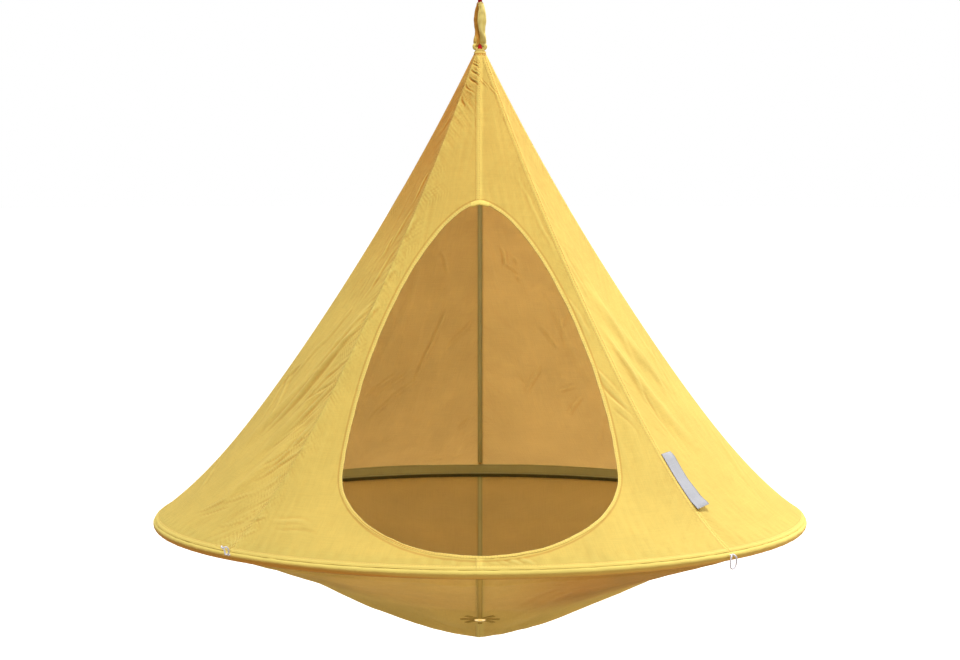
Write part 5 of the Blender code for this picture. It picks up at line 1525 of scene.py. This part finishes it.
def build_label():
    """A blank grey label sewn in at the right front seam, its lower end curling off the cloth."""
    top = float(slant_at(share_at(LABEL_TOP)))
    slants = np.linspace(top, top + LABEL_LENGTH, 56)
    across = np.array([0.0006, 0.0014, 0.003, 0.006, 0.010, 0.014, 0.018, 0.022, 0.026, 0.030, 0.0322,
                       LABEL_WIDTH])
    share = np.broadcast_to(share_of_slant(slants)[:, None], (len(slants), len(across)))
    angle = GORE_ANGLE + across[None, :] / seam_radius(share)
    smooth_lift = np.maximum(cloth_lift(angle, share), -0.0005)
    down = ((slants - top) / LABEL_LENGTH)[:, None]
    side = across / LABEL_WIDTH
    lift = 0.0011 + 0.0075 * side ** 1.2 * ease(down, -0.15, 0.12)
    lift = lift + 0.0012 * side * np.sin(9.0 * down + 0.6)
    lift = lift + 0.0058 * ease(down, 0.80, 1.0) * (0.55 + 0.45 * side)
    points = bare_canopy(angle, share) + (smooth_lift + lift)[..., None] * outward(angle, share)
    end = np.minimum(slants - top, top + LABEL_LENGTH - slants)[:, None]
    edge = np.minimum(np.minimum(across, LABEL_WIDTH - across), end)
    label = sheet_piece("grey_label", points, together(across, slants[:, None]), 0.0006, label_cloth(),
                        "hammock", ["label"], {"stitch": np.abs(edge - 0.0010), "run": slants[:, None]})


# Corners of webbing's section in halves of its width and thickness: flat, with soft selvedges
WEBBING_CORNERS = (
    (-0.93, 0.55), (-0.8, 1.0), (-0.4, 1.0), (0.0, 1.0), (0.4, 1.0), (0.8, 1.0), (0.93, 0.55),
    (1.0, 0.0), (0.93, -0.55), (0.8, -1.0), (0.4, -1.0), (0.0, -1.0), (-0.4, -1.0), (-0.8, -1.0),
    (-0.93, -0.55), (-1.0, 0.0),
)


def strand_path():
    """The sling's loop: down the right strand, round the bend and up, with its way out and bunching."""
    corner = BEND_HEIGHT + SLING_CORNER
    height = np.linspace(MOUTH_HEIGHT, corner, 90)
    rise = height - BEND_HEIGHT
    twist = -0.5 * math.pi * ease(rise, *TWISTING)
    apart = SLING_SPREAD + ease(rise, *CLOSING) * (SLING_CLOSE - SLING_SPREAD)
    out = together(np.cos(twist), np.sin(twist), 0.0)
    points = out * apart[:, None] + np.array([0.0, 0.0, 1.0]) * (RING_Z + height)[:, None]
    points[:, 0] += 0.0044 * ease(rise, 0.020, 0.050) * (1.0 - 0.7 * ease(rise, 0.088, 0.106))
    bunched = 1.0 - ease(rise, *BUNCHING)
    turn = np.linspace(0.0, 0.5 * math.pi, 14)[1:]
    bend_out = together(np.cos(turn), 0.0, -np.sin(turn))
    bend = bend_out * SLING_CORNER + np.array([SLING_SPREAD - SLING_CORNER, 0.0, RING_Z + corner])
    points, out = np.concatenate([points, bend]), np.concatenate([out, bend_out])
    bunched = np.concatenate([bunched, np.ones(len(turn))])
    mirror = np.array([-1.0, -1.0, 1.0])
    return (np.concatenate([points, points[::-1] * mirror]), np.concatenate([out, out[::-1] * mirror]),
            np.concatenate([bunched, bunched[::-1]]))


def strand_ways(points, out):
    """Ways along the strand's depth and width."""
    along = unit(np.gradient(points, axis=0))
    along[0], along[-1] = (0.0, 0.0, -1.0), (0.0, 0.0, 1.0)
    deep = unit(out - along * np.einsum("ij,ij->i", out, along)[:, None])
    return deep, np.cross(along, deep)


def build_sling():
    """The sling's red webbing and the creased yellow sleeve over it."""
    points, out, bunched = strand_path()
    deep, wide = strand_ways(points, out)
    length = line_lengths(points)
    turn = (math.tau * np.arange(30) / 30.0)[None, :]
    from_mouth = np.minimum(length, length[-1] - length)
    rise = points[:, 2] - RING_Z - BEND_HEIGHT
    swollen = ease(rise, 0.0108, 0.0130) * (1.0 - ease(rise, 0.020, 0.045))
    half_width = STRAND_HALF_WIDTH + bunched * (BEND_RADIUS - STRAND_HALF_WIDTH)
    half_depth = STRAND_HALF_DEPTH + bunched * (BEND_RADIUS - STRAND_HALF_DEPTH) + 0.0036 * swollen
    half_depth += 0.0009 * ease(rise, 0.0005, 0.0030) * (1.0 - swollen)
    puff = 1.0 + 0.22 * np.cos(math.tau * (rise - 0.066) / 0.068) * (1.0 - bunched)
    ripple = 0.00020 * np.sin(math.tau * length[:, None] / 0.019 + 2.0 * np.sin(turn)
                              + 2.2 * cloth_noise(length / 0.03, 0.0, 31)[:, None])
    ripple = ripple + 0.00032 * np.sin(4.0 * turn + length[:, None] / 0.021)
    ripple = ripple * (0.35 + 0.65 * ease(from_mouth, 0.0, 0.012))[:, None]
    a = np.cos(turn) * (half_width * puff)[:, None]
    b = np.sin(turn) * half_depth[:, None]
    size = np.hypot(a, b)
    a, b = a * (1.0 + ripple / size), b * (1.0 + ripple / size)
    face = points[:, None, :] + wide[:, None, :] * a[..., None] + deep[:, None, :] * b[..., None]
    sag = 0.0016 * np.exp(-from_mouth / 0.004)[:, None]
    face[..., 2] -= sag * np.cos(2.0 * turn) + sag
    around = turn * 0.0065
    middle = points[:, None, :]
    # Painted light: shade in furrows, on the strands' undersides and on the rear strand, a highlight on
    # ridges and on the front strand
    strand_painted_light = 0.9 * folds(face, unit(face - middle), 160.0) - 0.9 * (b < -0.4 * half_depth[:, None])
    rear = ease(length[:, None], 0.5 * length[-1], 0.5 * length[-1] + 0.03)
    strand_painted_light = strand_painted_light - 1.15 * rear + 0.30 * (1.0 - rear)
    hint = 1.0 if ((face - middle) * grid_normals(face, True)).sum() > 0.0 else -1.0
    sleeve = sheet_piece("canvas_sling_sleeve", face, together(around + 0.5, length[:, None] + 12.0),
                         0.0008, canvas(), "sling", ["sling_sleeve"],
                         {"stitch": np.minimum(np.abs(from_mouth - 0.004)[:, None], 0.02),
                          "run": around, "doubled": 0.6, "painted_light": strand_painted_light, "creased_high": 0.25},
                         period=0.041, hint=hint)
    core_width = CORE_HALF_WIDTH + bunched * (BEND_CORE_HALF_WIDTH - CORE_HALF_WIDTH)
    core = np.stack([points + wide * (core_width * p)[:, None] + deep * (CORE_HALF_DEPTH * q)
                     for p, q in WEBBING_CORNERS], axis=1)
    loft_piece("red_sling_webbing", core, length, np.arange(len(WEBBING_CORNERS)) * 0.0011,
               red_webbing(), "sling", ["sling_webbing"])


def webbing_loft(name, centres, deep, half_widths, half_depth, body, stands_for):
    """Webbing across X through centres, thick along the given ways."""
    wide = np.array([1.0, 0.0, 0.0])
    sections = np.stack([centres + wide * (half_widths * p)[:, None] + deep * (half_depth * q)
                         for p, q in WEBBING_CORNERS], axis=1)
    loft_piece(name, sections, line_lengths(centres) + 20.0, np.arange(len(WEBBING_CORNERS)) * 0.0012,
               red_webbing(), body, stands_for)


def build_eye():
    """The sling's upper eye, which opens to take a hook."""
    radius = EYE_RADIUS + CORE_HALF_DEPTH
    share = np.linspace(0.0, 1.0, 14)[:-1]
    leg_y = SLING_CLOSE + ease(share, 0.0, 1.0) * (radius - SLING_CLOSE)
    leg_z = (GAP - EYE_HEIGHT) + share * (EYE_HEIGHT - GAP - EYE_RADIUS)
    turn = np.linspace(0.0, math.pi, 40)
    y = np.concatenate([leg_y, radius * np.cos(turn), -leg_y[::-1]])
    z = np.concatenate([leg_z, radius * np.sin(turn) - EYE_RADIUS, leg_z[::-1]])
    angle = np.concatenate([0.0 * share, turn, math.pi + 0.0 * share])
    webbing_loft("red_sling_eye", together(0.0, y, z), together(0.0, np.cos(angle), np.sin(angle)),
                 np.full(len(y), CORE_HALF_WIDTH), CORE_HALF_DEPTH, "hanger", ["sling_eye"])


def build_collar():
    """The tip's hem, standing up before and behind the loop and lower under the sling's bend."""
    turn = (math.tau * np.arange(72) / 72.0)[None, :]
    front = np.cos(turn) ** 2
    share = np.linspace(0.0, 1.0, 12)[:, None]
    low, high = CANOPY_HEIGHT - 0.0006, CANOPY_HEIGHT + 0.0042 + 0.0072 * front
    height = high + share * (low - high)
    belly = 0.0006 * np.sin(math.pi * share) + 0.0004 * np.sin(17.0 * turn) * (1.0 - share)
    half_x = 0.0128 + 0.0012 * share + belly
    half_y = 0.0086 + 0.0042 * share ** 2 + belly
    hem = 0.0005 * (1.0 - ease(share, 0.25, 0.35))
    x, y = (half_x + hem) * np.sin(turn), -(half_y + hem) * np.cos(turn)
    x = np.sign(x) * np.minimum(np.abs(x), 0.0138)
    uv = together(turn * 0.0125 + 0.2, share * 0.012 + 30.0)
    # Painted highlight on the hem's top and painted shade down into the tip
    marks = {"stitch": np.abs(share - 0.30) * 0.012, "run": turn * 0.0125,
             "painted_light": 0.3 - 1.3 * ease(share, 0.66, 0.92)}
    collar = sheet_piece("canvas_collar", together(x, y, RING_Z + height), uv, 0.0009, canvas(), "", [],
                         marks, period=0.0785)
    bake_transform(collar)


def build_crown():
    """The crown loop over the sling's bend, and its two ends sewn down inside the tip."""
    middle = BEND_RADIUS + GAP + 0.5 * LOOP_THICKNESS
    hinge = RING_Z + SWAY_HEIGHT
    end_turn = np.linspace(0.02, 0.5 * math.pi, 12)
    leg_z = np.concatenate([hinge - LOOP_HALF_WIDTH * np.cos(end_turn),
                            np.linspace(hinge, RING_Z + BEND_HEIGHT, 8)[1:-1]])
    leg_half = np.concatenate([LOOP_HALF_WIDTH * np.sin(end_turn), np.full(6, LOOP_HALF_WIDTH)])
    leg_half = np.maximum(leg_half, 0.0008)
    turn = np.linspace(0.0, math.pi, 34)
    leg_y = np.full(len(leg_z), middle)
    y = np.concatenate([leg_y, middle * np.cos(turn), -leg_y])
    peak = 0.0045 * ease(np.sin(turn), 0.55, 1.0)
    z = np.concatenate([leg_z, RING_Z + BEND_HEIGHT + middle * np.sin(turn) + peak, leg_z[::-1]])
    pulled = 1.0 - 0.80 * ease(np.sin(turn), 0.60, 1.0)
    half = np.concatenate([leg_half, LOOP_HALF_WIDTH * pulled, leg_half[::-1]])
    angle = np.concatenate([np.zeros(len(leg_z)), turn, np.full(len(leg_z), math.pi)])
    webbing_loft("red_crown_loop", together(0.0, y, z), together(0.0, np.cos(angle), np.sin(angle)),
                 half, 0.5 * LOOP_THICKNESS, "crown", ["crown_loop"])
    corner = 1.0 / math.cos(0.5 * GORE_ANGLE)
    half_width = 0.8 * LOOP_HALF_WIDTH
    depth = ((CLOTH + 2.0 * GAP) * corner + (TAPE_THICKNESS + 2.0 * GAP) * corner
             + half_width * math.tan(0.5 * GORE_ANGLE) + 0.5 * LOOP_THICKNESS)
    top = hinge - LOOP_HALF_WIDTH - GAP
    for name, way, angle in (("front", -1.0, 0.0), ("back", 1.0, math.pi)):
        share = share_at(CANOPY_HEIGHT - np.array([0.008, 0.020, 0.035, 0.070]))
        face = bare_canopy(np.full(4, angle + BARELY), share)
        face = face - outward(np.full(4, angle), share) * depth
        line = smooth_line(np.vstack([[0.0, way * middle, top], face * np.array([0.0, 1.0, 1.0])]), 8)
        along = unit(np.gradient(line, axis=0))
        deep = np.cross(along, np.array([1.0, 0.0, 0.0]))
        webbing_loft("red_crown_root_" + name, line, deep, np.full(len(line), half_width),
                     0.5 * LOOP_THICKNESS, "hammock", ["crown_root_" + name])


# Studio

def lamp(name, place, aim, size, power, colour):
    """A soft area light looking at a point."""
    light = bpy.data.lights.new(name, "AREA")
    light.shape, light.size, light.energy, light.color = "DISK", size, power, colour
    item = bpy.data.objects.new(name, light)
    item.location = place
    item.rotation_euler = (Vector(aim) - Vector(place)).to_track_quat("-Z", "Y").to_euler()
    bpy.context.scene.collection.objects.link(item)


def seen_directly(tree):
    """1 to the camera and to reflections, 0 to the rest.

    Light through the cloth counts as transmission, so it would be brightened by a ray of that kind.
    """
    path = node(tree, "LightPath")
    return node(tree, "Math", {"operation": "MAXIMUM"},
                {0: path.outputs["Is Camera Ray"], 1: path.outputs["Is Glossy Ray"]})


def build_stage():
    """The photograph's camera, a white floor under the hammock, and soft light from the right."""
    scene = bpy.context.scene
    camera = bpy.data.objects.new("camera", bpy.data.cameras.new("camera"))
    camera.data.lens, camera.data.sensor_width = 97.05, 36.0
    camera.location = (0.0, -5.926, -0.2669)
    camera.rotation_euler = (math.radians(85.13), 0.0, 0.0)
    scene.collection.objects.link(camera)
    scene.camera = camera
    scene.view_settings.view_transform = "Standard"
    world = bpy.data.worlds.new("white_studio")
    scene.world = world
    world.use_nodes = True
    tree = world.node_tree
    strength = node(tree, "MapRange", {"To Min": sizes().sky_light}, {"Value": seen_directly(tree)})
    tree.links.new(strength.outputs[0], tree.nodes["Background"].inputs["Strength"])
    tree.nodes["Background"].inputs["Color"].default_value = (1.0, 1.0, 1.0, 1.0)
    start_fresh()
    bpy.ops.mesh.primitive_circle_add(vertices=96, radius=40.0, fill_type="NGON",
                                      location=(0.0, 0.0, -1.99))
    floor = bpy.context.object
    floor.name = "studio_floor"
    paper, tree = new_material("white_paper")
    shader = tree.nodes["Principled BSDF"]
    shader.inputs["Base Color"].default_value = (*linear("C0B6A8"), 1.0)
    shader.inputs["Roughness"].default_value = 1.0
    glow = node(tree, "Math", {**TIMES, 1: sizes().floor_glow},
                {0: seen_directly(tree)})
    tree.links.new(glow.outputs[0], shader.inputs["Emission Strength"])
    shader.inputs["Emission Color"].default_value = (1.0, 1.0, 1.0, 1.0)
    # Seen from underneath the floor isn't there, so that the bowl can be looked at from below.
    below = node(tree, "NewGeometry").outputs["Backfacing"]
    mixed = node(tree, "MixShader", {}, {0: below, 1: shader, 2: node(tree, "BsdfTransparent")})
    tree.links.new(mixed.outputs[0], tree.nodes["Material Output"].inputs["Surface"])
    floor.data.materials.append(paper)
    lamp("key_light", (4.6, 3.1, 2.9), (0.0, 0.0, -0.8), 2.2, sizes().key_power, linear("FFFDFA"))
    lamp("back_light", (0.9, 5.0, 3.4), (0.0, 0.0, -0.8), 2.5, sizes().back_power, linear("FFFEFC"))
    lamp("top_light", (0.3, -1.3, 4.8), (0.0, 0.0, -0.8), 1.6, sizes().top_power, linear("FFFFFF"))


# The add-on

def measure(title, text, value, unit="LENGTH"):
    """A length, or another measure with its unit."""
    return bpy.props.FloatProperty(name=title, description=text, default=value, unit=unit, precision=5)


def factor(title, text, value):
    """A share or strength."""
    return bpy.props.FloatProperty(name=title, description=text, default=value, min=0.0, soft_max=2.0,
                                   subtype="FACTOR")


def tint(title, text, value):
    """A colour, given as its sRGB hex value."""
    return bpy.props.FloatVectorProperty(name=title, description=text, subtype="COLOR", size=3,
                                         min=0.0, max=1.0, default=linear(value))


class HAMMOCK_PG_sizes(bpy.types.PropertyGroup):
    """Sizes of the sewing and strengths of the studio's light"""
    crease_depth: factor("Crease depth", "Share of the creases' full height", 1.0)
    pucker_depth: measure("Pucker depth", "Height of the gathers beside a seam", 0.0008)
    strip_width: measure("Felled strip", "Width of the doubled cloth beside a seam", 0.009)
    strip_rise: measure("Felled rise", "How far the doubled cloth stands out", 0.0009)
    stitch: measure("Stitch", "Length of one stitch with its gap", 0.006)
    sky_light: factor("Sky light", "Strength of the studio's light from all round", 0.47)
    floor_glow: factor("Floor glow", "How much whiter the camera sees the floor", 0.90)
    key_power: measure("Key light", "Power of the light at the right, a little behind", 390.0, "POWER")
    back_power: measure("Back light", "Power of the light from behind", 85.0, "POWER")
    top_power: measure("Top light", "Power of the light overhead", 420.0, "POWER")


class HAMMOCK_PG_colours(bpy.types.PropertyGroup):
    """Colours of the pieces, and how much light the canvas lets through"""
    canvas: tint("Canvas", "Face of the yellow canvas", "F3DA73")
    canvas_light: tint("Canvas, lit through", "Light that comes through the canvas", "F7D495")
    canvas_glow: factor("Canvas glow", "Share of light that goes through the canvas", 0.38)
    # Paler than the canvas: painted light on the inside
    canvas_inner: tint("Canvas inside", "Inner face of the canvas", "F6DD95")
    # Near white: painted light on the inside of the bowl
    canvas_floor: tint("Canvas in the bowl", "Inner face of the bowl", "FFF3C2")
    inner_light: tint("Inside, lit through", "Light that the inner face hands on", "F1E5C2")
    inner_glow: factor("Inside glow", "Share of light that the inner face hands on", 0.80)
    floor_share: factor("Bowl glow", "Share of light that the bowl's inner face hands on", 0.34)
    thread: tint("Thread", "Stitches in the canvas", "F3D06F")
    olive: tint("Olive", "Seam tapes and rim band", "DFE7C4")
    webbing: tint("Webbing", "Strap and star under the bowl", "C5A452")
    olive_thread: tint("Olive thread", "Stitches in the tapes", "CECB9E")
    red: tint("Red", "Webbing of the sling and crown", "A8141C")
    label: tint("Label", "Blank label", "B3B4BA")
    label_edge: tint("Label edge", "Stitches round the label", "7F7E88")
    cord: tint("Cord", "Braided cord", "EFEDF6")
    brass: tint("Brass", "Eyelet", "E7C055")
    aluminium: tint("Aluminium", "Poles", "C9CBCE")


class HAMMOCK_OT_stage(bpy.types.Operator):
    """Set up the photograph's camera, the white floor and the lights"""
    bl_idname = "hammock.stage"
    bl_label = "Studio"

    def execute(self, context):
        build_stage()
        return {"FINISHED"}


class HAMMOCK_OT_cords(bpy.types.Operator):
    """Braid the two short cord loops out of the rim"""
    bl_idname = "hammock.cords"
    bl_label = "Cord loops"

    def execute(self, context):
        build_cord_loops()
        return {"FINISHED"}


class HAMMOCK_OT_canopy(bpy.types.Operator):
    """Sew the eight canvas gores with their creases and the door's opening"""
    bl_idname = "hammock.canopy"
    bl_label = "Canopy"

    def execute(self, context):
        build_canopy()
        return {"FINISHED"}


class HAMMOCK_OT_seam_tapes(bpy.types.Operator):
    """Sew an olive tape inside each of the canopy's seams"""
    bl_idname = "hammock.seam_tapes"
    bl_label = "Seam tapes"

    def execute(self, context):
        build_seam_tapes()
        return {"FINISHED"}


class HAMMOCK_OT_door_binding(bpy.types.Operator):
    """Bind the door's edge in folded canvas"""
    bl_idname = "hammock.door_binding"
    bl_label = "Door binding"

    def execute(self, context):
        build_door_binding()
        return {"FINISHED"}


class HAMMOCK_OT_ring_sleeve(bpy.types.Operator):
    """Sew the canvas tube that holds the poles"""
    bl_idname = "hammock.ring_sleeve"
    bl_label = "Ring sleeve"

    def execute(self, context):
        build_ring_sleeve()
        return {"FINISHED"}


class HAMMOCK_OT_poles(bpy.types.Operator):
    """Bend the eight aluminium tubes of the ring"""
    bl_idname = "hammock.poles"
    bl_label = "Poles"

    def execute(self, context):
        build_poles()
        return {"FINISHED"}


class HAMMOCK_OT_rim_band(bpy.types.Operator):
    """Lay the olive band inside the rim"""
    bl_idname = "hammock.rim_band"
    bl_label = "Rim band"

    def execute(self, context):
        build_rim_band()
        return {"FINISHED"}


class HAMMOCK_OT_bowl(bpy.types.Operator):
    """Hang the two halves of the bowl that is the seat"""
    bl_idname = "hammock.bowl"
    bl_label = "Bowl"

    def execute(self, context):
        build_floor()
        return {"FINISHED"}


class HAMMOCK_OT_bowl_webbing(bpy.types.Operator):
    """Sew the tapes, the strap and the star of webbing to the bowl"""
    bl_idname = "hammock.bowl_webbing"
    bl_label = "Bowl webbing"

    def execute(self, context):
        build_floor_webbing()
        return {"FINISHED"}


class HAMMOCK_OT_eyelet(bpy.types.Operator):
    """Turn the brass eyelet and its washer"""
    bl_idname = "hammock.eyelet"
    bl_label = "Eyelet"

    def execute(self, context):
        build_eyelet()
        return {"FINISHED"}


class HAMMOCK_OT_label(bpy.types.Operator):
    """Sew the blank grey label in beside the right front seam"""
    bl_idname = "hammock.label"
    bl_label = "Label"

    def execute(self, context):
        build_label()
        return {"FINISHED"}


class HAMMOCK_OT_sling(bpy.types.Operator):
    """Make the sling's webbing, its yellow sleeve and its upper eye"""
    bl_idname = "hammock.sling"
    bl_label = "Sling"

    def execute(self, context):
        build_sling()
        build_eye()
        return {"FINISHED"}


class HAMMOCK_OT_crown(bpy.types.Operator):
    """Make the red loop at the tip and its sewn ends"""
    bl_idname = "hammock.crown"
    bl_label = "Crown"

    def execute(self, context):
        build_crown()
        build_collar()
        return {"FINISHED"}


STEPS = ("stage", "cords", "canopy", "seam_tapes", "door_binding", "ring_sleeve", "poles", "rim_band",
         "bowl", "bowl_webbing", "eyelet", "label", "sling", "crown")


class HAMMOCK_PT_pieces(bpy.types.Panel):
    """The hammock's pieces, each made by its button"""
    bl_label = "Hammock"
    bl_space_type = "VIEW_3D"
    bl_region_type = "UI"
    bl_category = "Hammock"

    def draw(self, context):
        for step in STEPS:
            self.layout.operator("hammock." + step)


CLASSES = (HAMMOCK_PG_sizes, HAMMOCK_PG_colours, HAMMOCK_OT_stage, HAMMOCK_OT_cords,
           HAMMOCK_OT_canopy, HAMMOCK_OT_seam_tapes, HAMMOCK_OT_door_binding,
           HAMMOCK_OT_ring_sleeve, HAMMOCK_OT_poles, HAMMOCK_OT_rim_band, HAMMOCK_OT_bowl,
           HAMMOCK_OT_bowl_webbing, HAMMOCK_OT_eyelet, HAMMOCK_OT_label, HAMMOCK_OT_sling,
           HAMMOCK_OT_crown, HAMMOCK_PT_pieces)


def register():
    """Register the add-on's classes and hang its settings on the scene."""
    for item in CLASSES:
        bpy.utils.register_class(item)
    bpy.types.Scene.hammock_sizes = bpy.props.PointerProperty(type=HAMMOCK_PG_sizes)
    bpy.types.Scene.hammock_colours = bpy.props.PointerProperty(type=HAMMOCK_PG_colours)


def unregister():
    """Undo what register did."""
    del bpy.types.Scene.hammock_colours
    del bpy.types.Scene.hammock_sizes
    for item in reversed(CLASSES):
        bpy.utils.unregister_class(item)


def main():
    """Build everything in order."""
    register()
    for step in STEPS:
        getattr(bpy.ops.hammock, step)()


if __name__ == "__main__":
    main()
